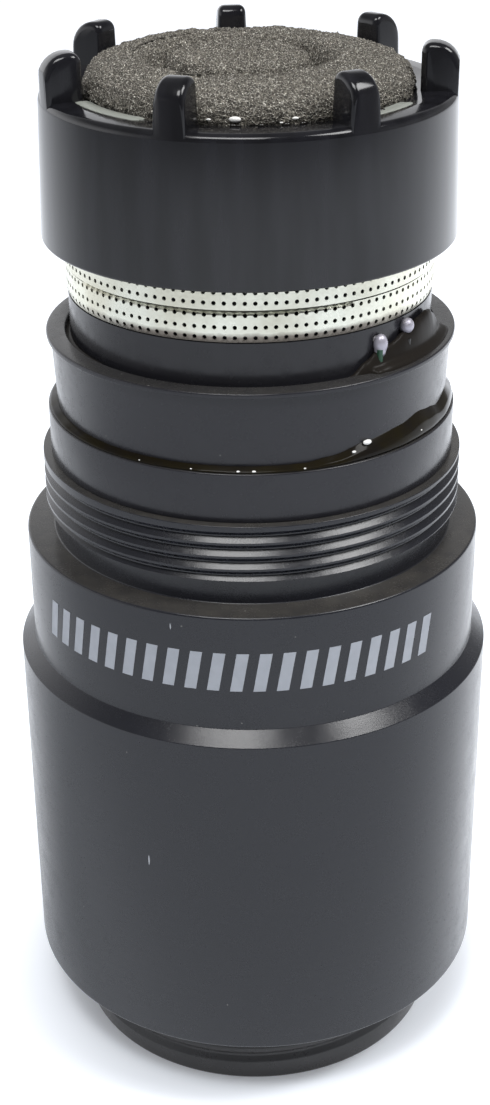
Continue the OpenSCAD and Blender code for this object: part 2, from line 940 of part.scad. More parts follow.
// Open-cell foam in the crown's mouth
module foam_disc() {
    color("#5d574e")
        rotate_extrude()
            polygon(concat(
                [
                    [0, crown_floor_z],
                    [foam_r, crown_floor_z]
                ],
                arc_points(foam_r - foam_shoulder, foam_peak - foam_shoulder, foam_shoulder, 0, 90),
                [
                    [crease_r + crease_w, foam_peak - foam_dome],
                    [crease_r, foam_peak - crease_deep],
                    [crease_r - crease_w, foam_peak - 2 * foam_dome],
                    [0, foam_peak - foam_dome]
                ]
            ));
}

// Side outline of a tab: rounded outer corner, small nose and a drafted inner face
module tab_side() {
    polygon(concat(
        [
            [tab_in_r, tab_foot],
            [tab_out_r, tab_foot]
        ],
        arc_points(tab_out_r - tab_round, tab_top - tab_round, tab_round, 0, 90),
        arc_points(tab_in_r + tab_draft + tab_nose, tab_top - tab_nose, tab_nose, 90, 180, 4)
    ));
}

// Front outline of a tab: drafted sides and rounded top corners
module tab_front() {
    polygon(concat(
        [
            [-tab_w / 2, tab_foot],
            [tab_w / 2, tab_foot]
        ],
        arc_points(tab_top_w / 2 - tab_nose, tab_top - tab_nose, tab_nose, 0, 90, 4),
        arc_points(tab_nose - tab_top_w / 2, tab_top - tab_nose, tab_nose, 90, 180, 4)
    ));
}

// One standing tab: where its side and front outlines cross
module tab() {
    intersection() {
        rotate([90, 0, 0])
            linear_extrude(2 * tab_w, center = true)
                tab_side();
        translate([tab_in_r - cut, 0, 0])
            rotate([90, 0, 90])
                linear_extrude(tab_deep + 2 * cut)
                    tab_front();
    }
}

// Moulded crown: skirt over the body's flange, a mouth for the foam and standing tabs
module crown_ring() {
    color("#141416") {
        rotate_extrude()
            polygon(concat(
                [[skirt_r, crown_z]],
                arc_points(crown_r - edge_break, crown_z + edge_break, edge_break, -90, 0, 4),
                arc_points(crown_top_r - crown_round, crown_top - crown_fall - crown_round, crown_round, 0, 90),
                [[mouth_r + crown_land, crown_top]],
                arc_points(mouth_r + mouth_round, crown_top - crown_dish - mouth_round, mouth_round, 90, 180, 4),
                [
                    [mouth_r, crown_floor_z],
                    [skirt_r, crown_floor_z]
                ]
            ));
        for (i = [0:tab_count - 1])
            at_turn(tab_angle + 360 * i / tab_count)
                tab();
    }
}

barrel();
base_spigot();
contact_board();
contact_ring_outer();
contact_ring_inner();
contact_pad();
board_screws();
mount_base_ring();
mount_cup();
adhesive_bead();
capsule_body();
rear_cap();
port_felt();
port_screen();
terminal_pins();
solder_joints();
lead_signal();
lead_ground();
inner_leads();
element_gasket();
element_can();
diaphragm_ring();
diaphragm();
spacer_ring();
backplate();
backplate_holder();
gate_ring();
amplifier_board();
amplifier_chip();
front_screen();
foam_disc();
crown_ring();
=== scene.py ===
"""Dresses the microphone head: barrel, base, mount, capsule, crown and foam."""
import logging
import math
from collections.abc import Callable, Iterator, Sequence
from dataclasses import dataclass
from enum import Enum

import bmesh
import bpy
from mathutils import Matrix, Vector


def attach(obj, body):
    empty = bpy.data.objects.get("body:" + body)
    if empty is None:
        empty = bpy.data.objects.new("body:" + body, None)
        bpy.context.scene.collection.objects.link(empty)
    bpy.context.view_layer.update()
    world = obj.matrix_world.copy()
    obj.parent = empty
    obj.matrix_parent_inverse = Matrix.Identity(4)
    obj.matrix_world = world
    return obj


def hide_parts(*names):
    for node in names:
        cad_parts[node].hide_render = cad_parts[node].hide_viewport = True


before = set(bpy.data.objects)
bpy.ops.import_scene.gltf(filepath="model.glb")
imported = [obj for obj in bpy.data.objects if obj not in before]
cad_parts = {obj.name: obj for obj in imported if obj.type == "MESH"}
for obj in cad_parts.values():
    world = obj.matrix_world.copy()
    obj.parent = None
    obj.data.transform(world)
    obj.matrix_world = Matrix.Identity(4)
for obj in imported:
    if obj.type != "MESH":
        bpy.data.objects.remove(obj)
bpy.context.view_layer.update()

LOG = logging.getLogger("microphone_head")
MM = 0.001
HELIX_STEPS = 120
NICK_GREY = "#b9bcc2"
DUST_GRAIN_GREY = "#8f8e8a"
TURN = 2.0 * math.pi

Point = tuple[float, float]
Glob = tuple[float, float, float, float]
Solid = bpy.types.Object
Tree = bpy.types.NodeTree
Node = bpy.types.Node
Socket = bpy.types.NodeSocket


class Combine(Enum):
    """How one closed shape is combined with another."""

    ADD = "UNION"
    CUT = "DIFFERENCE"
    KEEP = "INTERSECT"


@dataclass(frozen=True)
class Corner:
    """A corner of a turned outline, in millimetres, with the radius it is rounded to."""

    r: float
    z: float
    radius: float = 0.0


# The bench: a few hand operations, each used by several pieces


def clear_selection() -> None:
    """Leaves edit mode and deselects everything."""
    if bpy.context.object and bpy.context.object.mode != "OBJECT":
        bpy.ops.object.mode_set(mode="OBJECT")
    bpy.ops.object.select_all(action="DESELECT")


def pick(piece: Solid, *others: Solid) -> None:
    """Selects a piece and any others, with the piece active."""
    clear_selection()
    for one in (piece, *others):
        one.select_set(True)
    bpy.context.view_layer.objects.active = piece


def edit(piece: Solid) -> None:
    """Opens a piece for editing with everything in it selected."""
    pick(piece)
    bpy.ops.object.mode_set(mode="EDIT")
    bpy.ops.mesh.select_mode(type="VERT")
    bpy.ops.mesh.select_all(action="SELECT")


def close_edit() -> None:
    """Goes back to object mode."""
    bpy.ops.object.mode_set(mode="OBJECT")


def choose(piece: Solid, takes: Callable[[Vector], bool]) -> None:
    """Selects vertices of the piece that is being edited.

    Args:
        piece: The piece in edit mode.
        takes: Says for a vertex's place, in millimetres, whether it is selected.
    """
    shape = bmesh.from_edit_mesh(piece.data)
    for vertex in shape.verts:
        vertex.select_set(False)
    for vertex in shape.verts:
        if takes(vertex.co / MM):
            vertex.select_set(True)
    shape.select_flush(True)
    bmesh.update_edit_mesh(piece.data)


def modify(piece: Solid, kind: str, **settings: object) -> None:
    """Adds a modifier with its settings and applies it."""
    pick(piece)
    bpy.ops.object.modifier_add(type=kind)
    modifier = piece.modifiers[-1]
    for name, value in settings.items():
        setattr(modifier, name, value)
    bpy.ops.object.modifier_apply(modifier=modifier.name)


def combine(piece: Solid, other: Solid, how: Combine) -> None:
    """Combines another closed shape with a piece and removes the other."""
    modify(piece, "BOOLEAN", object=other, operation=how.value, solver="EXACT")
    bpy.data.objects.remove(other)


def smooth(piece: Solid, degrees: float = 32.0) -> Solid:
    """Shades a piece smooth, with edges sharper than the angle kept."""
    pick(piece)
    bpy.ops.object.shade_smooth_by_angle(angle=math.radians(degrees))
    return piece


def close_up(piece: Solid, merge: float = 0.002) -> None:
    """Merges what meets, in millimetres, and turns the faces outwards."""
    edit(piece)
    bpy.ops.mesh.remove_doubles(threshold=merge * MM)
    bpy.ops.mesh.normals_make_consistent(inside=False)
    close_edit()


def join(name: str, parts: Sequence[Solid]) -> Solid:
    """Joins parts into one piece under a name."""
    pick(parts[0], *parts[1:])
    bpy.ops.object.join()
    piece = bpy.context.object
    piece.name = name
    return piece


def settle(piece: Solid) -> Solid:
    """Puts a piece's place, turn and size into its mesh."""
    pick(piece)
    bpy.ops.object.transform_apply(location=True, rotation=True, scale=True)
    return piece


def copy_of(piece: Solid) -> Solid:
    """Copies a piece with a mesh of its own."""
    pick(piece)
    bpy.ops.object.duplicate(linked=False)
    return bpy.context.object


def turned(piece: Solid, degrees: float) -> Solid:
    """Turns a piece about the upright axis, counter-clockwise from above."""
    piece.rotation_euler = (0.0, 0.0, math.radians(degrees))
    return settle(piece)


def around(r: float, azimuth: float, z: float) -> Vector:
    """A place in metres from a radius, an azimuth in degrees from the front, and a height."""
    turn = math.radians(azimuth)
    return Vector((r * math.sin(turn), -r * math.cos(turn), z)) * MM


def azimuth_of(place: Vector) -> float:
    """The azimuth of a place in degrees, from the front towards the right."""
    return math.degrees(math.atan2(place.x, -place.y))


def blend_table(table: Sequence[Point], at: float) -> float:
    """Reads a value between the rows of a table of (place, value)."""
    for (a, low), (b, high) in zip(table, table[1:]):
        if a <= at <= b:
            share = (at - a) / (b - a)
            return low + (high - low) * share * share * (3.0 - 2.0 * share)
    return table[-1][1]


def rounded(corners: Sequence[Corner], steps: int = 5) -> list[Point]:
    """Rounds the corners of a closed outline.

    Args:
        corners: The corners in order, each with its radius.
        steps: How many pieces each rounding has.

    Returns:
        The outline's points.
    """
    points: list[Point] = []
    for index, corner in enumerate(corners):
        here = Vector((corner.r, corner.z))
        if corner.radius <= 0.0:
            points.append((corner.r, corner.z))
            continue
        back, ahead = corners[index - 1], corners[(index + 1) % len(corners)]
        u = (Vector((back.r, back.z)) - here).normalized()
        w = (Vector((ahead.r, ahead.z)) - here).normalized()
        half = u.angle(w) / 2.0
        centre = here + (u + w).normalized() * (corner.radius / math.sin(half))
        first = here + u * (corner.radius / math.tan(half)) - centre
        sweep = first.angle_signed(here + w * (corner.radius / math.tan(half)) - centre)
        for step in range(steps + 1):
            turn = -sweep * step / steps
            points.append((
                centre.x + first.x * math.cos(turn) - first.y * math.sin(turn),
                centre.y + first.x * math.sin(turn) + first.y * math.cos(turn),
            ))
    return points


def softened(points: Sequence[Point], rounds: int) -> list[Point]:
    """Cuts the corners of an open line a few times, so that it runs smoothly."""
    line = list(points)
    for _ in range(rounds):
        cut = [line[0]]
        for (ax, ay), (bx, by) in zip(line, line[1:]):
            cut.append((0.75 * ax + 0.25 * bx, 0.75 * ay + 0.25 * by))
            cut.append((0.25 * ax + 0.75 * bx, 0.25 * ay + 0.75 * by))
        line = [*cut, line[-1]]
    return line


def evenly(points: Sequence[Point], step: float) -> list[Point]:
    """Walks along a line and gives points about one step apart."""
    line = [points[0]]
    for (ax, ay), (bx, by) in zip(points, points[1:]):
        count = max(1, round(math.hypot(bx - ax, by - ay) / step))
        line += [(ax + (bx - ax) * k / count, ay + (by - ay) * k / count) for k in range(1, count + 1)]
    return line


def draw_line(name: str, places: Sequence[Vector]) -> Solid:
    """Draws a line of edges from place to place, as an object at the origin.

    Args:
        name: The object's name.
        places: The places in metres. A line that ends where it starts is closed.

    Returns:
        The object, a line with no faces.
    """
    clear_selection()
    bpy.ops.mesh.primitive_plane_add(size=MM, location=(0.0, 0.0, 0.0))
    line = bpy.context.object
    line.name = name
    edit(line)
    bpy.ops.mesh.merge(type="CENTER")
    bpy.ops.transform.translate(value=places[0])
    for here, there in zip(places, places[1:]):
        bpy.ops.mesh.extrude_vertices_move(TRANSFORM_OT_translate={"value": there - here})
    bpy.ops.mesh.select_all(action="SELECT")
    bpy.ops.mesh.remove_doubles(threshold=1e-7)
    close_edit()
    return line


def revolve(name: str, outline: Sequence[Point], steps: int = 192, closed: bool = True) -> Solid:
    """Turns an outline about the upright axis, as on a lathe.

    Args:
        name: The piece's name.
        outline: Points of radius and height in millimetres.
        steps: How many steps a full turn has.
        closed: Whether the outline returns to its start. An open one ends on the axis.

    Returns:
        The turned piece, shaded smooth.
    """
    points = [*outline, outline[0]] if closed else list(outline)
    piece = draw_line(name, [Vector((r, 0.0, z)) * MM for r, z in points])
    edit(piece)
    bpy.ops.mesh.spin(steps=steps, angle=TURN, center=(0.0, 0.0, 0.0), axis=(0.0, 0.0, 1.0))
    close_edit()
    close_up(piece)
    return smooth(piece)


def helix(name: str, section: Sequence[Point], pitch: float, turns: float) -> Solid:
    """Sweeps a closed section round and up in a right-hand helix, to cut a thread with.

    Args:
        name: The cutter's name.
        section: Points of radius and height in millimetres, where the helix starts.
        pitch: The rise of one turn in millimetres.
        turns: How many turns it makes.

    Returns:
        The closed cutter.
    """
    cutter = draw_line(name, [Vector((r, 0.0, z)) * MM for r, z in (*section, section[0])])
    steps = round(HELIX_STEPS * turns)
    modify(
        cutter, "SCREW", axis="Z", angle=TURN * turns, screw_offset=pitch * turns * MM,
        steps=steps, render_steps=steps, iterations=1, use_merge_vertices=False,
    )
    edit(cutter)
    bpy.ops.mesh.select_all(action="DESELECT")
    bpy.ops.mesh.select_non_manifold()
    bpy.ops.mesh.fill_holes(sides=len(section))
    close_edit()
    close_up(cutter, 0.0001)
    return cutter


def groove_cutter(name: str, groove: Sequence[Point], start: float, pitch: float, turns: float) -> Solid:
    """Makes the tool path of a thread's groove, the same above its middle as below.

    Args:
        name: The cutter's name.
        groove: The radius and half height of its corners, from the root outwards, in millimetres.
        start: The height of its middle where it starts, in millimetres.
        pitch: The rise of one turn in millimetres.
        turns: How many turns it makes.

    Returns:
        The closed cutter.
    """
    section = [(r, start - half) for r, half in groove] + [(r, start + half) for r, half in reversed(groove)]
    return helix(name, section, pitch, turns)


def tube(name: str, places: Sequence[Vector], diameter: float, sides: int = 3) -> Solid:
    """Draws a round wire along a line of places.

    Args:
        name: The wire's name.
        places: The places in metres.
        diameter: The wire's diameter in millimetres.
        sides: The curve's bevel resolution.

    Returns:
        The wire as a closed mesh.
    """
    wire = draw_line(name, places)
    pick(wire)
    bpy.ops.object.convert(target="CURVE")
    wire = bpy.context.object
    wire.data.bevel_depth = diameter / 2.0 * MM
    wire.data.bevel_resolution = sides
    wire.data.use_fill_caps = True
    bpy.ops.object.convert(target="MESH")
    close_up(bpy.context.object, 0.001)
    return smooth(bpy.context.object, 50.0)


def blob(name: str, lobes: Sequence[tuple[Vector, Vector]], grain: float, relax: int) -> Solid:
    """Melts several lobes into one smooth blob, as solder or glue sets.

    Args:
        name: The blob's name.
        lobes: A centre in metres and three half sizes in millimetres for each lobe.
        grain: The size in millimetres of the mesh that the lobes melt into.
        relax: How many times the blob is relaxed.

    Returns:
        The closed blob.
    """
    parts = []
    for centre, size in lobes:
        clear_selection()
        bpy.ops.mesh.primitive_ico_sphere_add(subdivisions=4, radius=MM, location=centre)
        ball = bpy.context.object
        edit(ball)
        bpy.ops.transform.resize(value=size, center_override=centre)
        close_edit()
        ball.rotation_euler = (0.0, 0.0, math.radians(azimuth_of(centre)))
        parts.append(settle(ball))
    piece = join(name, parts)
    modify(piece, "REMESH", mode="VOXEL", voxel_size=grain * MM)
    modify(piece, "SMOOTH", iterations=relax, factor=0.5)
    close_up(piece, 0.0001)
    return smooth(piece, 180.0)


def ruffle(piece: Solid, size: float, depth: float, pattern: str = "CLOUDS") -> None:
    """Pushes a surface in and out along its normals by a soft noise.

    Args:
        piece: The piece.
        size: The noise's size in millimetres.
        depth: The whole travel in millimetres.
        pattern: The kind of texture.
    """
    noise = bpy.data.textures.new(f"{piece.name}_{pattern.lower()}", pattern)
    noise.noise_scale = size * MM
    modify(piece, "DISPLACE", texture=noise, strength=depth * MM, mid_level=0.5, texture_coords="LOCAL")


# Finishes: what each surface is made of, and how it is made


def linear(code: str) -> tuple[float, float, float, float]:
    """Turns an sRGB hex colour into the linear colour that a shader takes."""
    levels = [int(code[k:k + 2], 16) / 255.0 for k in (1, 3, 5)]
    flat = [v / 12.92 if v <= 0.04045 else ((v + 0.055) / 1.055) ** 2.4 for v in levels]
    return (*flat, 1.0)


def per_mm(size: float) -> float:
    """The scale of a noise whose grains are this many millimetres."""
    return 1.0 / (size * MM)


def add_node(tree: Tree, kind: str, inputs: dict[str | int, object] | None = None, **settings: object) -> Node:
    """Adds a shader node with its settings, values and links.

    Args:
        tree: The node tree.
        kind: The node's type.
        inputs: A value or a socket to link, for each input by name or number.
        settings: The node's own settings.

    Returns:
        The node.
    """
    made = tree.nodes.new(kind)
    for name, value in settings.items():
        setattr(made, name, value)
    for name, value in (inputs or {}).items():
        if isinstance(value, bpy.types.NodeSocket):
            tree.links.new(value, made.inputs[name])
        else:
            made.inputs[name].default_value = value
    return made


def ramp(tree: Tree, value: Socket, span: Point, result: Point = (0.0, 1.0), easing: str = "LINEAR") -> Socket:
    """Turns a value within one span into a result within another, held at both ends.

    Args:
        tree: The node tree.
        value: The value.
        span: Where the value starts and ends.
        result: What it turns into at the start and at the end.
        easing: How it runs between the two.

    Returns:
        The result.
    """
    return add_node(tree, "ShaderNodeMapRange", {
        "Value": value, "From Min": span[0], "From Max": span[1], "To Min": result[0], "To Max": result[1],
    }, interpolation_type=easing).outputs[0]


def sum_of(tree: Tree, operation: str, *values: object) -> Socket:
    """Works out a number from up to three others."""
    return add_node(tree, "ShaderNodeMath", dict(enumerate(values)), operation=operation).outputs[0]


def vector_sum(tree: Tree, operation: str, *values: object) -> Socket:
    """Works out a vector, or for a length or a product its number, from up to two others."""
    made = add_node(tree, "ShaderNodeVectorMath", dict(enumerate(values)), operation=operation)
    return made.outputs["Value" if operation in ("LENGTH", "DOT_PRODUCT") else "Vector"]


def noise_in(tree: Tree, places: Socket, size: float, detail: float) -> Socket:
    """A soft noise whose grains are this many millimetres."""
    return add_node(tree, "ShaderNodeTexNoise", {
        "Vector": places, "Scale": per_mm(size), "Detail": detail,
    }).outputs["Fac"]


def mixed(tree: Tree, share: Socket, under: object, over: object) -> Socket:
    """Mixes a share of one colour over another."""
    return add_node(tree, "ShaderNodeMix", {"Factor": share, 6: under, 7: over}, data_type="RGBA").outputs[2]


def bump_into(tree: Tree, shader: Node, height: Socket, depth: float, **under: Socket) -> None:
    """Gives a shader a relief.

    Args:
        tree: The node tree.
        shader: The principled shader.
        height: The relief's height, from 0 to 1.
        depth: Its depth in millimetres.
        under: The relief that it lies on, as Normal.
    """
    bump = add_node(tree, "ShaderNodeBump", {
        "Height": height, "Strength": 1.0, "Distance": depth * MM, **under,
    })
    tree.links.new(bump.outputs[0], shader.inputs["Normal"])


@dataclass(frozen=True)
class Finish:
    """A surface: its colour and gloss, with fine grain in the gloss and relief."""

    name: str
    colour: str
    roughness: float
    metallic: float = 0.0
    ior: float = 1.5
    grain: float = 0.12
    relief: float = 0.004
    uneven: float = 0.08
    stretch: tuple[float, float, float] = (1.0, 1.0, 1.0)
    second_colour: str = ""
    patch: float = 2.0
    dust_and_sheen: str = ""
    nicks: tuple[tuple[float, float, float, float, float], ...] = ()

    def material(self) -> bpy.types.Material:
        """Builds the material, or gives the one already built."""
        known = bpy.data.materials.get(self.name)
        if known:
            return known
        made = bpy.data.materials.new(self.name)
        made.use_nodes = True
        tree = made.node_tree
        tree.nodes.clear()
        places = add_node(tree, "ShaderNodeTexCoord").outputs["Object"]
        shader = add_node(tree, "ShaderNodeBsdfPrincipled", {
            "Base Color": linear(self.colour), "Metallic": self.metallic, "Roughness": self.roughness,
        })
        if self.metallic < 1.0:
            shader.inputs["IOR"].default_value = self.ior
        self.grain_in(tree, places, shader)
        add_node(tree, "ShaderNodeOutputMaterial", {"Surface": shader.outputs["BSDF"]})
        return made

    def grain_in(self, tree: Tree, places: Socket, shader: Node) -> None:
        """Lays the grain into the shader's colour, roughness and relief.

        Args:
            tree: The material's tree.
            places: The Object coordinates.
            shader: The principled shader.
        """
        spread = add_node(tree, "ShaderNodeMapping", {"Vector": places, "Scale": self.stretch}).outputs[0]
        fine = noise_in(tree, spread, self.grain, 3.0)
        broad = noise_in(tree, spread, self.patch, 4.0)
        gloss = (max(0.02, self.roughness - self.uneven), min(1.0, self.roughness + self.uneven))
        rough = ramp(tree, sum_of(tree, "ADD", fine, broad), (0.7, 1.3), gloss)
        tree.links.new(rough, shader.inputs["Roughness"])
        bump_into(tree, shader, fine, self.relief)
        if self.second_colour:
            self.mix_in(tree, shader, ramp(tree, broad, (0.38, 0.62)), self.second_colour)
        if self.dust_and_sheen:
            self.dust_and_sheen_in(tree, places, shader)
        for azimuth, height, r, wide, tall in self.nicks:
            off = vector_sum(tree, "SUBTRACT", places, around(r, azimuth, height))
            near = vector_sum(tree, "MULTIPLY", off, (per_mm(wide), per_mm(wide), per_mm(tall)))
            inside = ramp(tree, vector_sum(tree, "LENGTH", near), (0.7, 1.0), (1.0, 0.0))
            self.mix_in(tree, shader, inside, NICK_GREY)

    def mix_in(self, tree: Tree, shader: Node, share: Socket, colour: str) -> None:
        """Mixes a colour over what the shader's base colour already is."""
        base = shader.inputs["Base Color"]
        under = base.links[0].from_socket if base.links else tuple(base.default_value)
        tree.links.new(mixed(tree, share, under, linear(colour)), base)

    def dust_and_sheen_in(self, tree: Tree, places: Socket, shader: Node) -> None:
        """Lightens what faces up in an even veil of dust and painted sheen, with a few grains of dust
        everywhere.
        """
        normal = add_node(tree, "ShaderNodeNewGeometry").outputs["Normal"]
        up = add_node(tree, "ShaderNodeSeparateXYZ", {"Vector": normal}).outputs["Z"]
        thick = ramp(tree, noise_in(tree, places, 1.3, 5.0), (0.3, 0.7), (0.6, 1.0))
        # The veil on upward faces is partly dust and partly a painted sheen.
        veil = sum_of(tree, "MULTIPLY", ramp(tree, up, (0.8, 0.98)), thick)
        self.mix_in(tree, shader, veil, self.dust_and_sheen)
        grains = add_node(tree, "ShaderNodeTexVoronoi", {"Vector": places, "Scale": per_mm(2.4)})
        grain = ramp(tree, grains.outputs["Distance"], (0.02, 0.035), (0.55, 0.0))
        self.mix_in(tree, shader, grain, DUST_GRAIN_GREY)


@dataclass(frozen=True)
class TurnedAnodised(Finish):
    """Black anodised aluminium off a lathe: satin, with faint rings and a fine etched grain."""

    ring_pitch: float = 0.16
    ring_depth: float = 0.0012

    def grain_in(self, tree: Tree, places: Socket, shader: Node) -> None:
        """Adds the tool's rings to the etched grain."""
        super().grain_in(tree, places, shader)
        rings = add_node(tree, "ShaderNodeTexWave", {
            "Vector": places, "Scale": per_mm(self.ring_pitch) / 20.0, "Distortion": 2.0, "Detail": 3.0,
        }, wave_type="BANDS", bands_direction="Z")
        etched = shader.inputs["Normal"].links[0].from_socket
        bump_into(tree, shader, rings.outputs["Fac"], self.ring_depth, Normal=etched)


@dataclass(frozen=True)
class BrownEdgedStrip(Finish):
    """Plated strip that turns brown along its lower edge, most of all at the front."""

    edge_brown: str = "#5f524c"
    brown_z: Point = (69.0, 69.35)
    brown_y: Point = (-12.0, -6.0)
    brown_wave: float = 0.4

    def grain_in(self, tree: Tree, places: Socket, shader: Node) -> None:
        """Adds the brown lower edge to the plating's grain."""
        super().grain_in(tree, places, shader)
        parts = add_node(tree, "ShaderNodeSeparateXYZ", {"Vector": places})
        cloud = noise_in(tree, places, 0.9, 3.0)
        wavy = sum_of(tree, "MULTIPLY_ADD", cloud, self.brown_wave * MM, parts.outputs["Z"])
        low = ramp(tree, wavy, (self.brown_z[0] * MM, self.brown_z[1] * MM), (0.85, 0.0))
        front = ramp(tree, parts.outputs["Y"], (self.brown_y[0] * MM, self.brown_y[1] * MM), (1.0, 0.25))
        self.mix_in(tree, shader, sum_of(tree, "MULTIPLY", low, front), self.edge_brown)


@dataclass(frozen=True)
class OpenCellFoam(Finish):
    """Grey-brown reticulated polyurethane: a web of struts over cells in painted shade, with painted glints on
    a few struts.
    """

    glint_colour: str = "#fbf7ec"
    pore_shade_colour: str = "#524e48"
    cell: float = 0.24
    warp: float = 0.25
    cell_depth: float = 0.12

    def grain_in(self, tree: Tree, places: Socket, shader: Node) -> None:
        """Draws the web of struts, the pores between them in painted shade, and painted glints on a few struts.
        """
        drift = add_node(tree, "ShaderNodeTexNoise", {"Vector": places, "Scale": per_mm(0.5), "Detail": 2.0})
        shift = add_node(tree, "ShaderNodeVectorMath", {
            0: drift.outputs["Color"], "Scale": self.warp * MM,
        }, operation="SCALE")
        web = add_node(tree, "ShaderNodeTexVoronoi", {
            "Vector": vector_sum(tree, "ADD", places, shift.outputs[0]), "Scale": per_mm(self.cell),
        }, feature="DISTANCE_TO_EDGE")
        fine = noise_in(tree, places, 0.11, 3.0)
        edge = ramp(tree, web.outputs["Distance"], (0.02, 0.22), (1.0, 0.0))
        # The pores are painted shade, darker than the struts.
        strut = mixed(tree, edge, linear(self.pore_shade_colour), linear(self.colour))
        # A few struts are lifted to near white: painted glints.
        spark = sum_of(tree, "MULTIPLY", edge, ramp(tree, fine, (0.55, 0.63)))
        final = mixed(tree, spark, strut, linear(self.glint_colour))
        tree.links.new(final, shader.inputs["Base Color"])
        bump_into(tree, shader, sum_of(tree, "ADD", edge, fine), self.cell_depth)


# Anodised aluminium, turned and dyed black: satin, a little cool, with soft wide highlights; its upward faces
# carry dust and a painted sheen.
ANODISED = TurnedAnodised(
    "anodised_aluminium_turned_black", "#1e1f25", 0.25, ior=1.52, grain=0.14, relief=0.0035, uneven=0.05,
    dust_and_sheen="#413f3c", nicks=((-25.6, 25.3, 20.0, 0.07, 0.55), (-19.5, 46.9, 18.85, 0.05, 0.3)),
)
# ABS from a polished mould: deep black with mirror-like edges and a slight orange peel.
CROWN_ABS = Finish(
    "abs_black_gloss_moulded", "#1f1f23", 0.13, ior=1.5, grain=1.4, relief=0.004, uneven=0.05,
    stretch=(1.0, 1.0, 0.12), second_colour="#151518", patch=1.6,
)
# ABS from a fine-etched mould: black with a soft sheen; its upward faces carry dust and a painted sheen.
MOUNT_ABS = Finish(
    "abs_black_satin_moulded", "#25252a", 0.25, ior=1.46, grain=0.7, relief=0.002, uneven=0.06, dust_and_sheen="#393837",
)
# Glass-filled nylon for the base: matt black, with a dry grain.
BASE_NYLON = Finish("nylon_black_filled_moulded", "#211f20", 0.32, grain=0.18)
# ABS of the capsule's body: black, slightly worn and handled.
BODY_ABS = Finish("abs_black_capsule_moulded", "#242428", 0.24, ior=1.46, grain=0.8, relief=0.002, uneven=0.07)
# Reticulated polyurethane foam: grey-brown web, its pores in painted shade, with painted glints here and there.
FOAM = OpenCellFoam("polyurethane_foam_open_cell", "#8d887d", 0.9)
# Nickel-plated steel strip, stamped: bright, a little warm, with soft reflections.
BAND_STEEL = BrownEdgedStrip(
    "nickel_plated_steel_perforated", "#f5f6e8", 0.36, metallic=0.85, grain=0.25, relief=0.008, uneven=0.1,
    second_colour="#e6e4d2", patch=5.0,
)
# Contact adhesive, cured: black, wet-looking, with rolling highlights.
ADHESIVE = Finish(
    "adhesive_black_cured", "#1b1815", 0.12, ior=1.2, grain=1.8, relief=0.006, uneven=0.04,
    second_colour="#1f1b10", patch=2.5,
)
# The glue over the leads: dark, with a soft sheen.
LEAD_GLUE = Finish("adhesive_dark_glassy", "#24211e", 0.3, ior=1.14, grain=1.6, relief=0.006, uneven=0.03)
# Wet drops of glue at the crown's mouth: dark, with small hard sparks.
WET_GLUE = Finish("glue_wet_drops", "#191612", 0.05, ior=1.6)
# Near-white specks: painted glints that stand in for the lamps' glare on the glue.
PAINTED_GLINT = Finish("glue_painted_glints", "#f6f5f2", 0.12, ior=1.5, grain=0.3)
# Pale matt smears at the crown's mouth: a painted reflection, the pale stripes that the dished land shows of
# the white background at a grazing angle.
MOUTH_PAINTED_REFLECTION = Finish("mouth_painted_reflection_matt", "#93968f", 0.42, ior=1.45, grain=0.9, relief=0.01, uneven=0.1)
# Tin solder: silvery, slightly frosted.
SOLDER = Finish("solder_tin_frosted", "#bdbac6", 0.4, metallic=0.5, grain=0.3, relief=0.006, uneven=0.08)
# PVC insulation, green, extruded: soft gloss.
GREEN_PVC = Finish("pvc_green_extruded", "#1d4a33", 0.35, ior=1.53, grain=0.2, relief=0.003)
# PVC insulation, black, extruded.
BLACK_PVC = Finish("pvc_black_extruded", "#151515", 0.35, ior=1.53, grain=0.2, relief=0.003)
# Screen-printed ink: flat light grey with ragged fine edges and pinholes.
PRINT_INK = Finish(
    "ink_pale_grey_screen_printed", "#aeb2ba", 0.5, ior=1.5, grain=0.12, relief=0.003,
    second_colour="#a9adb5", patch=0.9,
)
# Glass-epoxy laminate with green solder mask.
BOARD = Finish(
    "glass_epoxy_laminate_green", "#1f5a34", 0.3, ior=1.55, grain=0.3, relief=0.004,
    second_colour="#245f3a", patch=0.9,
)
# Gold-plated brass lands: warm and bright.
LAND_GOLD = Finish("brass_gold_plated_land", "#d8b25a", 0.22, metallic=1.0, grain=0.4, relief=0.003)
# Zinc-plated steel of the small screws.
SCREW_STEEL = Finish("steel_zinc_plated_screw", "#b9babb", 0.28, metallic=1.0, grain=0.3, relief=0.003)
# Wool felt: dark, matted fibres.
FELT = Finish(
    "wool_felt_black_matted", "#1a1a1a", 0.95, grain=0.12, relief=0.05, second_colour="#262524", patch=0.4,
)
# Tinned steel pins.
PIN_TIN = Finish("steel_tinned_pin", "#c4c4c0", 0.3, metallic=1.0, grain=0.3, relief=0.003)
# PVC insulation, red, extruded.
RED_PVC = Finish("pvc_red_extruded", "#9c1f1c", 0.35, ior=1.53, grain=0.2, relief=0.003)
# Silicone rubber gasket: matt dark grey.
GASKET = Finish("rubber_grey_moulded", "#2d2d2e", 0.6, grain=0.3, relief=0.008)
# Drawn aluminium can.
CAN = Finish(
    "aluminium_drawn_can", "#c5c6c8", 0.32, metallic=1.0, grain=0.4, relief=0.003, stretch=(1.0, 1.0, 6.0),
)
# Brass rings, turned.
RING_BRASS = Finish("brass_turned_ring", "#c8a251", 0.3, metallic=1.0, grain=0.3, relief=0.003)
# Metallised polyester film.
FILM = Finish("polyester_film_metallised", "#b8b3a4", 0.15, metallic=1.0, grain=1.5, relief=0.004)
# Polyester spacer, milky.
SPACER = Finish("polyester_spacer_milky", "#d9d8d0", 0.4, grain=0.4, relief=0.003)
# Acetal holder, white.
HOLDER = Finish("acetal_natural_moulded", "#d4d1c6", 0.4, grain=0.4, relief=0.004)
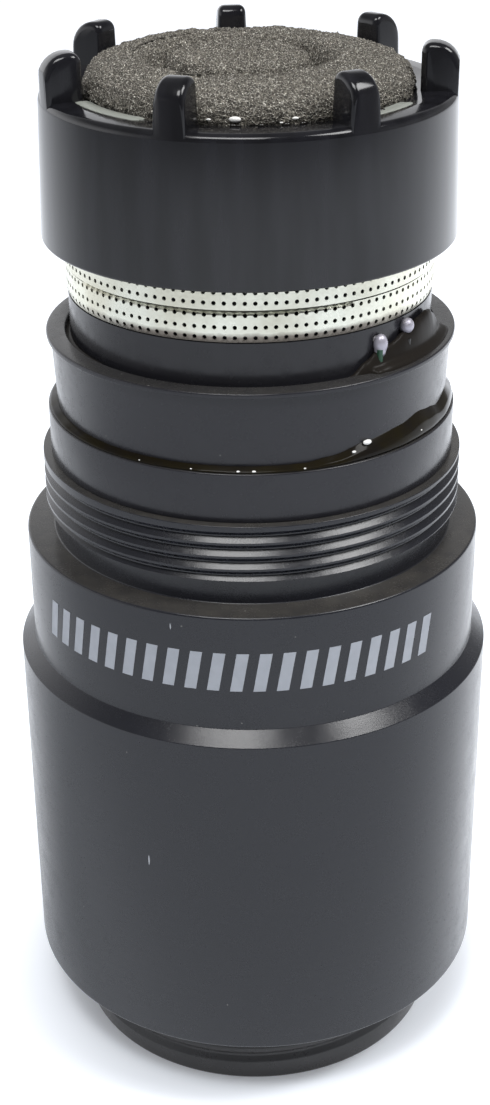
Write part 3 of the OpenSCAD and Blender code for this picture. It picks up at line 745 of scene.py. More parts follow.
# Epoxy moulding compound of the chip.
CHIP = Finish("epoxy_moulding_compound_black", "#1b1b1c", 0.6, grain=0.08, relief=0.006)
# Woven steel gauze under the foam.
GAUZE = Finish("steel_gauze_plated", "#9c9d9e", 0.35, metallic=1.0, grain=0.2, relief=0.02)

NODE_FINISHES: dict[str, Finish] = {
    "capsule_body": BODY_ABS,
    "contact_board": BOARD, "contact_ring_outer": LAND_GOLD, "contact_ring_inner": LAND_GOLD,
    "contact_pad": LAND_GOLD, "board_screws": SCREW_STEEL, "rear_cap": BODY_ABS, "port_felt": FELT,
    "terminal_pins": PIN_TIN, "inner_leads": RED_PVC, "element_gasket": GASKET, "element_can": CAN,
    "diaphragm_ring": RING_BRASS, "diaphragm": FILM, "spacer_ring": SPACER, "backplate": RING_BRASS,
    "backplate_holder": HOLDER, "gate_ring": RING_BRASS, "amplifier_board": BOARD,
    "amplifier_chip": CHIP, "front_screen": GAUZE,
}


def dress(piece: Solid, finish: Finish) -> None:
    """Gives every face of a piece one finish."""
    piece.data.materials.clear()
    piece.data.materials.append(finish.material())


def fit(piece: Solid, finish: Finish, slot: str, *nodes: str) -> Solid:
    """Dresses a piece, puts it on the frame and hides the nodes that it stands for.

    Args:
        piece: The finished piece.
        finish: Its surface.
        slot: Not used.
        nodes: The nodes of the frame that it replaces.

    Returns:
        The piece.
    """
    dress(piece, finish)
    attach(piece, "root")
    if nodes:
        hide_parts(*nodes)
    return piece


# The sub-assemblies


@dataclass
class Barrel:
    """The turned barrel: sleeve, chamfer, collar, relief and grille thread, bored through."""

    sleeve_r: float = 20.0
    collar_r: float = 18.85
    crest_r: float = 17.15
    root_r: float = 16.55
    socket_r: float = 17.0
    hollow_r: float = 16.2
    neck_bore_r: float = 14.4
    mount_bore_r: float = 14.9
    bottom: float = 7.0
    step_z: float = 37.2
    collar_z: float = 38.24
    relief_z: float = 48.1
    thread_z: float = 50.0
    top: float = 54.9
    shoulder_z: float = 50.9
    hollow_top: float = 44.0
    socket_top: float = 15.0
    pitch: float = 1.1
    thread_start: float = 49.875
    thread_turns: float = 4.0
    groove: tuple[Point, ...] = ((16.75, 0.05), (17.25, 0.55))

    def blank(self) -> Solid:
        """Turns the barrel with its bores, before the thread is cut."""
        return revolve("barrel_turned", rounded([
            Corner(self.socket_r, self.bottom, 0.08), Corner(self.sleeve_r, self.bottom, 0.25),
            Corner(self.sleeve_r, self.step_z, 0.12), Corner(self.collar_r, self.collar_z, 0.06),
            Corner(self.collar_r, self.relief_z, 0.22), Corner(self.root_r, self.relief_z, 0.12),
            Corner(self.root_r, self.thread_z), Corner(self.crest_r, self.thread_z + 0.34, 0.05),
            Corner(self.crest_r, self.top, 0.07),
            Corner(self.mount_bore_r, self.top), Corner(self.mount_bore_r, self.shoulder_z),
            Corner(self.neck_bore_r, self.shoulder_z), Corner(self.neck_bore_r, self.hollow_top),
            Corner(self.hollow_r, self.hollow_top), Corner(self.hollow_r, self.socket_top),
            Corner(self.socket_r, self.socket_top),
        ]), steps=240)

    def build(self) -> list[Solid]:
        """Makes the barrel with its thread.

        Returns:
            The pieces made.
        """
        barrel = self.blank()
        cutter = groove_cutter(
            "grille_thread_cutter", self.groove, self.thread_start, self.pitch, self.thread_turns,
        )
        combine(barrel, cutter, Combine.CUT)
        smooth(barrel, 28.0)
        return [fit(barrel, ANODISED, "anodised_aluminium", "barrel")]


@dataclass
class PrintedMarks:
    """A plain row of slanted printed bars round the front of the collar."""

    face_r: float = 18.85
    ink: float = 0.018
    low: float = 41.7
    high: float = 45.0
    width: float = 0.95
    slant: float = 0.55
    first: float = -58.0
    last: float = 46.0
    count: int = 20

    def bar(self) -> Solid:
        """Makes one bar at the front, with rounded corners."""
        clear_selection()
        height = self.high - self.low
        place = Vector((0.0, -self.face_r, (self.low + self.high) / 2.0)) * MM
        bpy.ops.mesh.primitive_cube_add(size=MM, location=place)
        bar = bpy.context.object
        edit(bar)
        bpy.ops.transform.resize(value=(self.width, 2.0 * self.ink, height), center_override=place)
        settle_edit = 0.5 * self.slant * MM
        choose(bar, lambda at: at.z > 0.0)
        bpy.ops.transform.translate(value=(settle_edit, 0.0, 0.0))
        choose(bar, lambda at: at.z < 0.0)
        bpy.ops.transform.translate(value=(-settle_edit, 0.0, 0.0))
        bpy.ops.mesh.select_all(action="SELECT")
        shape = bmesh.from_edit_mesh(bar.data)
        for edge in shape.edges:
            a, b = (vertex.co / MM for vertex in edge.verts)
            edge.select_set(abs(a.y - b.y) > self.ink)
        shape.select_flush(False)
        bmesh.update_edit_mesh(bar.data)
        bpy.ops.mesh.bevel(offset=0.2 * MM, segments=4, affect="EDGES")
        close_edit()
        return settle(bar)

    def build(self) -> list[Solid]:
        """Makes the row of bars.

        Returns:
            The pieces made.
        """
        first = self.bar()
        step = (self.last - self.first) / (self.count - 1)
        bars = [turned(copy_of(first), self.first + step * k) for k in range(self.count)]
        bpy.data.objects.remove(first)
        marks = join("print_marks", bars)
        close_up(marks, 0.0001)
        return [fit(smooth(marks), PRINT_INK, "")]


@dataclass
class Base:
    """The moulded base: threaded foot, plug, recess for the contact board and web."""

    foot_r: float = 16.14
    plug_r: float = 16.95
    plug_wall: float = 2.7
    recess_r: float = 13.6
    web_hole_r: float = 5.0
    foot_top: float = 7.0
    plug_top: float = 15.0
    board_top: float = 4.2
    web_top: float = 7.2
    pitch: float = 1.6
    thread_start: float = 1.3
    thread_turns: float = 3.2
    groove: tuple[Point, ...] = ((15.85, 0.05), (15.87, 0.16), (16.11, 0.55), (16.135, 0.66), (16.5, 0.95))

    def build(self) -> list[Solid]:
        """Makes the base and cuts its thread.

        Returns:
            The pieces made.
        """
        inner = self.plug_r - self.plug_wall
        base = revolve("base_threaded", rounded([
            Corner(self.recess_r, 0.0, 0.15), Corner(self.foot_r, 0.0, 0.35),
            Corner(self.foot_r, self.foot_top), Corner(self.plug_r, self.foot_top),
            Corner(self.plug_r, self.plug_top, 0.3), Corner(inner, self.plug_top, 0.3),
            Corner(inner, self.web_top, 0.3), Corner(self.web_hole_r, self.web_top, 0.2),
            Corner(self.web_hole_r, self.board_top), Corner(self.recess_r, self.board_top),
        ]), steps=192)
        cutter = groove_cutter(
            "foot_thread_cutter", self.groove, self.thread_start, self.pitch, self.thread_turns,
        )
        combine(base, cutter, Combine.CUT)
        return [fit(smooth(base, 28.0), BASE_NYLON, "base_plastic", "base_spigot")]


@dataclass
class Mount:
    """The two-step mount that holds the capsule at the barrel's mouth."""

    ring_r: float = 16.48
    ring_bore_r: float = 13.9
    spigot_r: float = 14.85
    spigot_z: float = 50.9
    rim_z: float = 54.9
    cup_z: float = 58.87
    boss_r: float = 13.85
    boss_z: float = 57.37
    cup_foot_r: float = 15.7
    cup_top_r: float = 16.0
    lip_r: float = 16.33
    lip_z: float = 64.75
    cup_top: float = 65.15
    well_r: float = 14.8
    hole_r: float = 11.5
    ledge_z: float = 61.5
    slot_r: float = 15.35
    slot_w: float = 0.8
    slot_angles: Point = (39.9, 52.3)

    def slot(self, azimuth: float) -> Solid:
        """Makes the cutter of one lead's slot."""
        clear_selection()
        place = Vector((0.0, -(self.hole_r - 0.1 + self.slot_r) / 2.0, (self.boss_z + self.cup_top) / 2.0)) * MM
        bpy.ops.mesh.primitive_cube_add(size=MM, location=place)
        slot = bpy.context.object
        slot.name = "lead_slot"
        edit(slot)
        size = (self.slot_w, self.slot_r - self.hole_r + 0.1, self.cup_top - self.boss_z + 0.2)
        bpy.ops.transform.resize(value=size, center_override=place)
        close_edit()
        return turned(settle(slot), azimuth)

    def build(self) -> list[Solid]:
        """Makes the lower ring and the cup.

        Returns:
            The pieces made.
        """
        ring = revolve("mount_ring_moulded", rounded([
            Corner(self.ring_bore_r, self.spigot_z), Corner(self.spigot_r, self.spigot_z),
            Corner(self.spigot_r, self.rim_z), Corner(self.ring_r, self.rim_z, 0.06),
            Corner(self.ring_r, self.cup_z, 0.12), Corner(self.ring_bore_r, self.cup_z),
        ]))
        cup = revolve("mount_cup_moulded", rounded([
            Corner(self.hole_r, self.boss_z), Corner(self.boss_r, self.boss_z), Corner(self.boss_r, self.cup_z),
            Corner(self.cup_foot_r, self.cup_z), Corner(self.cup_top_r, self.lip_z, 0.1),
            Corner(self.lip_r, self.lip_z, 0.06), Corner(self.lip_r, self.cup_top, 0.14),
            Corner(self.well_r, self.cup_top, 0.15), Corner(self.well_r, self.ledge_z),
            Corner(self.hole_r, self.ledge_z),
        ]))
        for azimuth in self.slot_angles:
            combine(cup, self.slot(azimuth), Combine.CUT)
        return [
            fit(smooth(ring), MOUNT_ABS, "mount_plastic", "mount_base_ring"),
            fit(smooth(cup), MOUNT_ABS, "mount_plastic", "mount_cup"),
        ]


@dataclass
class Crown:
    """The moulded crown: a skirted ring with a dished mouth and seven standing tabs."""

    skirt_r: float = 15.2
    outer_r: float = 16.24
    top_r: float = 15.86
    mouth_r: float = 12.45
    ridge_r: float = 14.23
    bottom: float = 72.7
    floor: float = 80.4
    top: float = 83.8
    tab_count: int = 7
    dish: float = 0.18
    fall: float = 0.06
    tab_foot: float = 82.7
    tab_top: float = 87.2
    tab_in: float = 13.01
    tab_out: float = 15.84
    tab_width: float = 2.6
    tab_top_width: float = 2.2
    tab_round: float = 2.0
    tab_angle: float = -20.3
    tab_proud: float = 0.12
    tab_inner_round: float = 0.75
    tab_side_round: float = 0.5
    trim: Point = (80.0, 90.0)

    def ring(self) -> Solid:
        """Turns the skirted ring."""
        return revolve("crown_moulded", rounded([
            Corner(self.skirt_r, self.bottom, 0.12), Corner(self.outer_r, self.bottom, 0.22),
            Corner(self.top_r, self.top - self.fall, 0.6), Corner(self.ridge_r, self.top, 0.8),
            Corner(self.mouth_r, self.top - self.dish, 0.3), Corner(self.mouth_r, self.floor, 0.1),
            Corner(self.skirt_r, self.floor, 0.2),
        ], steps=7), steps=224)

    def tab(self) -> Solid:
        """Models one tab at the front: drafted, rounded over towards the outside."""
        clear_selection()
        height = self.tab_top - self.tab_foot
        proud = self.tab_out + self.tab_proud
        depth = proud - self.tab_in
        centre = Vector((0.0, -(self.tab_in + proud) / 2.0, (self.tab_foot + self.tab_top) / 2.0)) * MM
        bpy.ops.mesh.primitive_cube_add(size=MM, location=centre)
        tab = bpy.context.object
        edit(tab)
        bpy.ops.transform.resize(value=(self.tab_width, depth, height), center_override=centre)
        choose(tab, lambda at: at.z > 0.0)
        bpy.ops.transform.resize(value=(self.tab_top_width / self.tab_width, 1.0, 1.0), center_override=centre)
        close_edit()
        settle(tab)
        middle = centre / MM
        inner_y = -self.tab_in - 0.5
        buried_z = self.tab_foot + 0.3
        self.round_edges(
            tab, lambda a, b: min(a.z, b.z) > middle.z and max(a.y, b.y) < middle.y, self.tab_round, 8,
        )
        self.round_edges(
            tab, lambda a, b: min(a.z, b.z) > middle.z and abs(a.x - b.x) > 1.0 and a.y > inner_y,
            self.tab_inner_round, 6,
        )
        self.round_edges(
            tab, lambda a, b: max(a.z, b.z) > buried_z and a.x * b.x > 0.0, self.tab_side_round, 6,
        )
        close_up(tab, 0.001)
        low, high = self.trim
        trim = revolve("tab_trim", [(0.0, low), (self.tab_out, low), (self.tab_out, high), (0.0, high)], 360)
        combine(tab, trim, Combine.KEEP)
        return tab

    def round_edges(
        self, tab: Solid, takes: Callable[[Vector, Vector], bool], radius: float, steps: int,
    ) -> None:
        """Bevels the edges whose two ends a test takes.

        Args:
            tab: The tab.
            takes: The test of an edge's two ends, in millimetres.
            radius: The rounding in millimetres.
            steps: How many pieces the rounding has.
        """
        edit(tab)
        shape = bmesh.from_edit_mesh(tab.data)
        bpy.ops.mesh.select_all(action="DESELECT")
        bpy.ops.mesh.select_mode(type="EDGE")
        for edge in shape.edges:
            edge.select_set(takes(edge.verts[0].co / MM, edge.verts[1].co / MM))
        bmesh.update_edit_mesh(tab.data)
        bpy.ops.mesh.bevel(offset=radius * MM, segments=steps, affect="EDGES", clamp_overlap=True)
        close_edit()

    def build(self) -> list[Solid]:
        """Makes the crown with its tabs.

        Returns:
            The pieces made.
        """
        crown = self.ring()
        first = self.tab()
        for index in range(self.tab_count):
            tab = turned(copy_of(first), self.tab_angle + 360.0 * index / self.tab_count)
            combine(crown, tab, Combine.ADD)
        bpy.data.objects.remove(first)
        return [fit(smooth(crown, 34.0), CROWN_ABS, "crown_plastic", "crown_ring")]


@dataclass
class Foam:
    """The open-cell foam in the crown's mouth, with a pressed ring."""

    floor: float = 80.4
    radius: float = 11.8
    press_shift: float = -0.7
    steps: int = 384
    mesh_step: float = 0.17

    def outline(self) -> list[Point]:
        """The foam's half section, from the middle underneath to the middle on top."""
        side = [(0.0, self.floor), (self.radius, self.floor), (self.radius, self.floor + 0.4), (12.2, 82.9)]
        bulge = [
            (12.5, 83.75), (12.45, 84.5), (11.95, 85.3), (11.0, 85.85), (9.5, 86.2), (8.0, 86.15), (7.1, 85.7),
        ]
        press = [(6.6, 83.9), (6.1, 83.4), (5.6, 84.3), (5.3, 85.75), (4.5, 86.2), (2.0, 86.45), (0.0, 86.5)]
        return evenly(softened([*side, *bulge, *press], 3), self.mesh_step)

    def build(self) -> list[Solid]:
        """Makes the foam with its rough cells.

        Returns:
            The pieces made.
        """
        foam = revolve("foam_open_cell", self.outline(), self.steps, closed=False)
        edit(foam)
        choose(foam, lambda at: at.z > 83.0 and math.hypot(at.x, at.y) < 8.5)
        bpy.ops.transform.translate(value=(self.press_shift * MM, 0.0, 0.0))
        close_edit()
        ruffle(foam, 3.2, 0.5)
        ruffle(foam, 0.4, 0.34)
        ruffle(foam, 0.2, 0.28)
        smooth(foam, 180.0)
        fit(foam, FOAM, "foam", "foam_disc")
        return [foam]


@dataclass
class MouthGlue:
    """Glue at the front of the crown's mouth: small dark drops, with pale smears of painted reflection and
    near-white specks of painted glare.
    """

    drops: tuple[Point, ...] = (
        (-16.5, 0.26), (-4.9, 0.2), (-3.2, 0.18), (3.9, 0.22), (11.8, 0.26), (17.1, 0.24), (47.0, 0.26),
    )
    drop_r: float = 12.95
    drop_z: float = 83.72
    # The pale smears are a painted reflection of the white background on the dished land.
    reflection_arcs: tuple[tuple[int, int], ...] = ((-65, -36), (40, 60))
    reflection_rows: tuple[Point, ...] = ((12.9, 83.68), (13.4, 83.73))
    # The specks are painted glints: near-white spots that stand in for glare on the glue.
    specks: tuple[Glob, ...] = (
        (-4.2, 12.72, 84.1, 0.3), (-12.6, 12.72, 84.05, 0.13), (14.9, 12.72, 84.05, 0.17),
        (10.2, 12.9, 83.85, 0.1), (-16.6, 15.6, 83.82, 0.09),
    )

    def build(self) -> list[Solid]:
        """Makes the drops, the painted reflection and the painted glints.

        Returns:
            The pieces made.
        """
        lobes = [
            (around(self.drop_r, azimuth, self.drop_z), Vector((size * 1.2, size, size * 0.8)))
            for azimuth, size in self.drops
        ]
        specks = [
            (around(r, azimuth, z), Vector((size * 1.5, size * 0.7, size * 0.7)))
            for azimuth, r, z, size in self.specks
        ]
        reflection_arcs = [
            (around(r, azimuth, z), Vector((0.8, 0.4, 0.09)))
            for first, last in self.reflection_arcs for azimuth in range(first, last, 3) for r, z in self.reflection_rows
        ]
        return [
            fit(blob("mouth_glue", lobes, 0.05, 4), WET_GLUE, "adhesive"),
            fit(blob("mouth_painted_reflection", reflection_arcs, 0.045, 4), MOUTH_PAINTED_REFLECTION, "adhesive"),
            fit(blob("mouth_painted_glints", specks, 0.04, 3), PAINTED_GLINT, "adhesive"),
        ]


@dataclass
class SoundBand:
    """The perforated strip round the ports, with a second turn that overlaps above a seam."""

    across: int = 122
    hole: float = 0.335
    layers: tuple[tuple[float, float, float, float, int], ...] = (
        (14.36, 14.5, 68.37, 0.79, 3),
        (14.51, 14.63, 71.03, 0.78, 3),
    )
    upper_row_z: float = 70.345
    row_lift: float = 0.12
    slit: tuple[float, float] = (70.74, 70.9)
    tucks: tuple[tuple[float, float, float], ...] = ((68.0, 68.45, 0.16), (68.45, 68.72, 0.06))
    tuck_top: float = 0.2
    tuck_azimuth: float = -15.0
    tuck_reach: float = 45.0
    edge_reach: float = 0.02
    row_reach: float = 0.25

    def cell(self, width: float, height: float) -> Solid:
        """Models one cell of the strip: a square of metal round a hole.

        Args:
            width: The cell's width in millimetres.
            height: The cell's height in millimetres.

        Returns:
            The flat cell, upright and centred on the origin.
        """
        clear_selection()
        bpy.ops.mesh.primitive_circle_add(vertices=8, radius=self.hole / 2.0 * MM, location=(0.0, 0.0, 0.0))
        cell = bpy.context.object
        edit(cell)
        bpy.ops.mesh.extrude_edges_move(TRANSFORM_OT_translate={"value": (0.0, 0.0, 0.0)})
        stretch = (width / self.hole, height / self.hole, 1.0)
        bpy.ops.transform.resize(value=stretch, center_override=(0.0, 0.0, 0.0))
        clear = 0.21
        choose(
            cell,
            lambda at: abs(at.x) > clear * width and abs(at.y) > clear * height and at.length > self.hole,
        )
        root = math.sqrt(2.0)
        bpy.ops.transform.resize(value=(root, root, 1.0), center_override=(0.0, 0.0, 0.0))
        bpy.ops.mesh.select_all(action="SELECT")
        bpy.ops.transform.rotate(value=-math.pi / 2.0, orient_axis="X", center_override=(0.0, 0.0, 0.0))
        close_edit()
        return cell

    def layer(self, name: str, inner: float, outer: float, low: float, rise: float, rows: int) -> Solid:
        """Makes one turn of the strip.

        Args:
            name: The turn's name.
            inner: Its inner radius.
            outer: Its outer radius.
            low: The height of its lower edge.
            rise: The height of a row.
            rows: How many rows it has.

        Returns:
            The closed band.
        """
        around_r = (inner + outer) / 2.0
        width = TURN * around_r / self.across
        strip = self.cell(width, rise)
        modify(strip, "ARRAY", count=self.across, use_relative_offset=False, use_constant_offset=True,
               constant_offset_displace=(width * MM, 0.0, 0.0), use_merge_vertices=True, merge_threshold=1e-6)
        modify(strip, "ARRAY", count=rows, use_relative_offset=False, use_constant_offset=True,
               constant_offset_displace=(0.0, 0.0, rise * MM), use_merge_vertices=True, merge_threshold=1e-6)
        edit(strip)
        bpy.ops.transform.translate(value=(-(self.across - 1) / 2.0 * width * MM, 0.0, 0.0))
        close_edit()
        modify(strip, "SIMPLE_DEFORM", deform_method="BEND", deform_axis="Z", angle=TURN)
        strip.name = name
        box = [vertex.co.copy() for vertex in strip.data.vertices]
        middle = (min(v.y for v in box) + max(v.y for v in box)) / 2.0
        edit(strip)
        bpy.ops.transform.translate(value=(0.0, -middle, (low + rise / 2.0) * MM))
        close_edit()
        close_up(strip, 0.01)
        modify(strip, "SOLIDIFY", thickness=(outer - inner) * MM, offset=0.0)
        return strip

    def move_edge(self, strip: Solid, edge_z: float, to_z: float) -> None:
        """Moves one edge of a turn to another height.

        Args:
            strip: The turn.
            edge_z: Where the edge is, in millimetres.
            to_z: Where it goes.
        """
        edit(strip)
        choose(strip, lambda at: abs(at.z - edge_z) < self.edge_reach)
        bpy.ops.transform.translate(value=(0.0, 0.0, (to_z - edge_z) * MM))
        close_edit()

    def build(self) -> list[Solid]:
        """Makes both turns of the strip.

        Returns:
            The pieces made.
        """
        turns = [self.layer(f"band_turn_{k}", *sizes) for k, sizes in enumerate(self.layers)]
        edit(turns[0])
        for low, high, depth in self.tucks:
            choose(turns[0], lambda at, low=low, high=high: low < at.z < high)
            share = 1.0 - depth / self.layers[0][1]
            bpy.ops.transform.resize(value=(share, share, 1.0), center_override=(0.0, 0.0, 0.0))
        choose(turns[0], lambda at: abs(at.z - self.upper_row_z) < self.row_reach)
        bpy.ops.transform.translate(value=(0.0, 0.0, self.row_lift * MM))
        close_edit()
        _, outer, low, rise, rows = self.layers[0]
        top = low + rise * rows
        share = 1.0 - self.tuck_top / outer
        edit(turns[0])
        edge_z = top - self.edge_reach
        choose(
            turns[0],
            lambda at: at.z > edge_z and abs(azimuth_of(at) - self.tuck_azimuth) < self.tuck_reach,
        )
        bpy.ops.transform.resize(value=(share, share, 1.0), center_override=(0.0, 0.0, 0.0))
        close_edit()
        self.move_edge(turns[0], top, self.slit[0])
        self.move_edge(turns[1], self.layers[1][2], self.slit[1])
        band = join("sound_band", turns)
        return [fit(smooth(band, 30.0), BAND_STEEL, "screen_nickel", "port_screen")]


@dataclass
class Bead:
    """The glossy adhesive round the mount cup's foot, heaped at the right."""

    foot_z: float = 58.87
    cup_foot_r: float = 15.7
    reach: float = 0.75
    heights: tuple[Point, ...] = (
        (-180.0, 0.34), (14.0, 0.36), (22.0, 0.6), (33.0, 1.25), (46.0, 1.6), (54.0, 2.0), (60.0, 1.75),
        (67.0, 1.35), (77.0, 1.6), (88.0, 1.2), (105.0, 0.6), (125.0, 0.34), (180.0, 0.34),
    )
    # Each glint is a painted glint: a near-white speck that stands in for the lamps' glare.
    glints: tuple[Glob, ...] = (
        (32.9, 15.96, 60.08, 0.28), (28.4, 16.08, 59.62, 0.14), (53.1, 16.32, 59.5, 0.1),
        (-31.0, 16.3, 59.05, 0.07), (-16.0, 16.3, 59.05, 0.08), (-3.5, 16.3, 59.05, 0.11),
        (0.6, 16.3, 59.05, 0.12), (14.0, 16.3, 59.05, 0.09),
    )
    height: float = 0.6
    steps: int = 240

    def build(self) -> list[Solid]:
        """Makes the bead, with the specks on it: painted glints that stand in for glare.

        Returns:
            The pieces made.
        """
        wall = self.cup_foot_r - 0.1
        outline = rounded([
            Corner(wall, self.foot_z + 0.02), Corner(self.cup_foot_r + self.reach, self.foot_z + 0.02, 0.12),
            Corner(self.cup_foot_r + self.reach * 0.75, self.foot_z + 0.34, 0.25),
            Corner(self.cup_foot_r + 0.08, self.foot_z + self.height, 0.12), Corner(wall, self.foot_z + 0.62),
        ], steps=4)
        steps = self.steps
        bead = revolve("bead_glossy", outline, steps)
        edit(bead)
        for index in range(steps):
            centre = -180.0 + 360.0 * index / steps
            growth = blend_table(self.heights, centre) / self.height
            half = 180.0 / steps
            choose(
                bead,
                lambda at, c=centre, half=half: abs((azimuth_of(at) - c + 180.0) % 360.0 - 180.0) < half,
            )
            bpy.ops.transform.resize(value=(1.0, 1.0, growth), center_override=(0.0, 0.0, self.foot_z * MM))
        close_edit()
        ruffle(bead, 3.0, 0.1)
        painted_glints = blob("bead_painted_glints", [
            (around(r, azimuth, z), Vector((1.35, 0.8, 0.7)) * size) for azimuth, r, z, size in self.glints
        ], 0.035, 3)
        return [
            fit(smooth(bead, 60.0), ADHESIVE, "adhesive", "adhesive_bead"),
            fit(painted_glints, PAINTED_GLINT, "adhesive"),
        ]


@dataclass
class Leads:
    """The two leads from the solder down the well and through the barrel to the contact board."""

    diameter: float = 0.5
    top: float = 66.68
    track_r: float = 14.95
    signal_angle: float = 39.9
    ground_angle: float = 52.3
    signal_end: float = 2.203
    ground_end: float = 3.903

    def route(self, azimuth: float, end_r: float) -> list[Vector]:
        """The lead's path, from the solder to the board.

        Args:
            azimuth: Where it runs down the well.
            end_r: The radius at which it meets the board.

        Returns:
            The places of the path.
        """
        def bend(a: Point, b: Point, count: int) -> Iterator[Point]:
            for k in range(1, count + 1):
                share = k / count
                ease = share * share * (3.0 - 2.0 * share)
                yield a[0] + (b[0] - a[0]) * ease, a[1] + (b[1] - a[1]) * share

        points: list[Point] = [(self.track_r, self.top), (self.track_r, 64.5), (self.track_r, 62.3)]
        points += bend((self.track_r, 62.3), (13.1, 58.07), 12)
        points += [(13.1, 51.0), (13.1, 44.0)]
        points += bend((13.1, 44.0), (end_r, 8.0), 28)
        points += [(end_r, 6.0), (end_r, 4.2)]
        return [around(r, azimuth, z) for r, z in points]

    def build(self) -> list[Solid]:
        """Makes both leads and their solder.

        Returns:
            The pieces made.
        """
        signal = tube("wire_signal", self.route(self.signal_angle, self.signal_end), self.diameter)
        ground = tube("wire_ground", self.route(self.ground_angle, self.ground_end), self.diameter)
        solder = blob("solder_blobs", [
            (around(14.72, 41.0, 66.98), Vector((0.57, 0.52, 0.8))),
            (around(14.75, 40.7, 66.5), Vector((0.45, 0.45, 0.55))),
            (around(14.72, 53.2, 67.6), Vector((0.58, 0.52, 0.6))),
        ], 0.05, 10)
        return [
            fit(signal, GREEN_PVC, "lead_green", "lead_signal"),
            fit(ground, BLACK_PVC, "lead_black", "lead_ground"),
            fit(solder, SOLDER, "solder", "solder_joints"),
        ]


@dataclass
class WellGlue:
    """Dark glue in the mount's well: a thin fill all round, and a pool over the leads."""

    neck_r: float = 14.42
    well_r: float = 14.78
    low: float = 61.6
    fill: float = 64.75
    tops: tuple[Point, ...] = (
        (26.0, 64.8), (32.0, 65.2), (37.0, 66.1), (41.0, 66.7), (46.0, 66.9), (52.0, 67.4), (59.0, 67.9),
        (66.0, 68.0), (71.0, 67.3), (77.0, 66.2), (84.0, 65.4), (92.0, 64.7),
    )
    spill: Point = (42.0, 78.0)
    count: int = 33

    def build(self) -> list[Solid]:
        """Makes the fill and the pool of glue.

        Returns:
            The pieces made.
        """
        ring = revolve("well_fill", rounded([
            Corner(self.neck_r, self.low), Corner(self.well_r, self.low),
            Corner(self.well_r, self.fill - 0.05), Corner(self.neck_r, self.fill + 0.1),
        ]))
        ruffle(ring, 1.6, 0.1)
        lobes = []
        first, last = self.tops[0][0], self.tops[-1][0]
        for k in range(self.count):
            azimuth = first + (last - first) * k / (self.count - 1)
            top = blend_table(self.tops, azimuth)
            size = Vector((1.5, 0.6, (top - self.low) / 2.0))
            lobes.append((around(14.72, azimuth, (self.low + top) / 2.0), size))
            if self.spill[0] < azimuth < self.spill[1]:
                lobes.append((around(15.2, azimuth, 65.0), Vector((1.5, 0.75, 0.62))))
        lobes.append((around(15.35, 37.9, 65.12), Vector((0.5, 0.5, 0.34))))
        pool = blob("well_pool", lobes, 0.12, 26)
        return [fit(ring, LEAD_GLUE, "adhesive"), fit(pool, LEAD_GLUE, "adhesive")]


# The picture


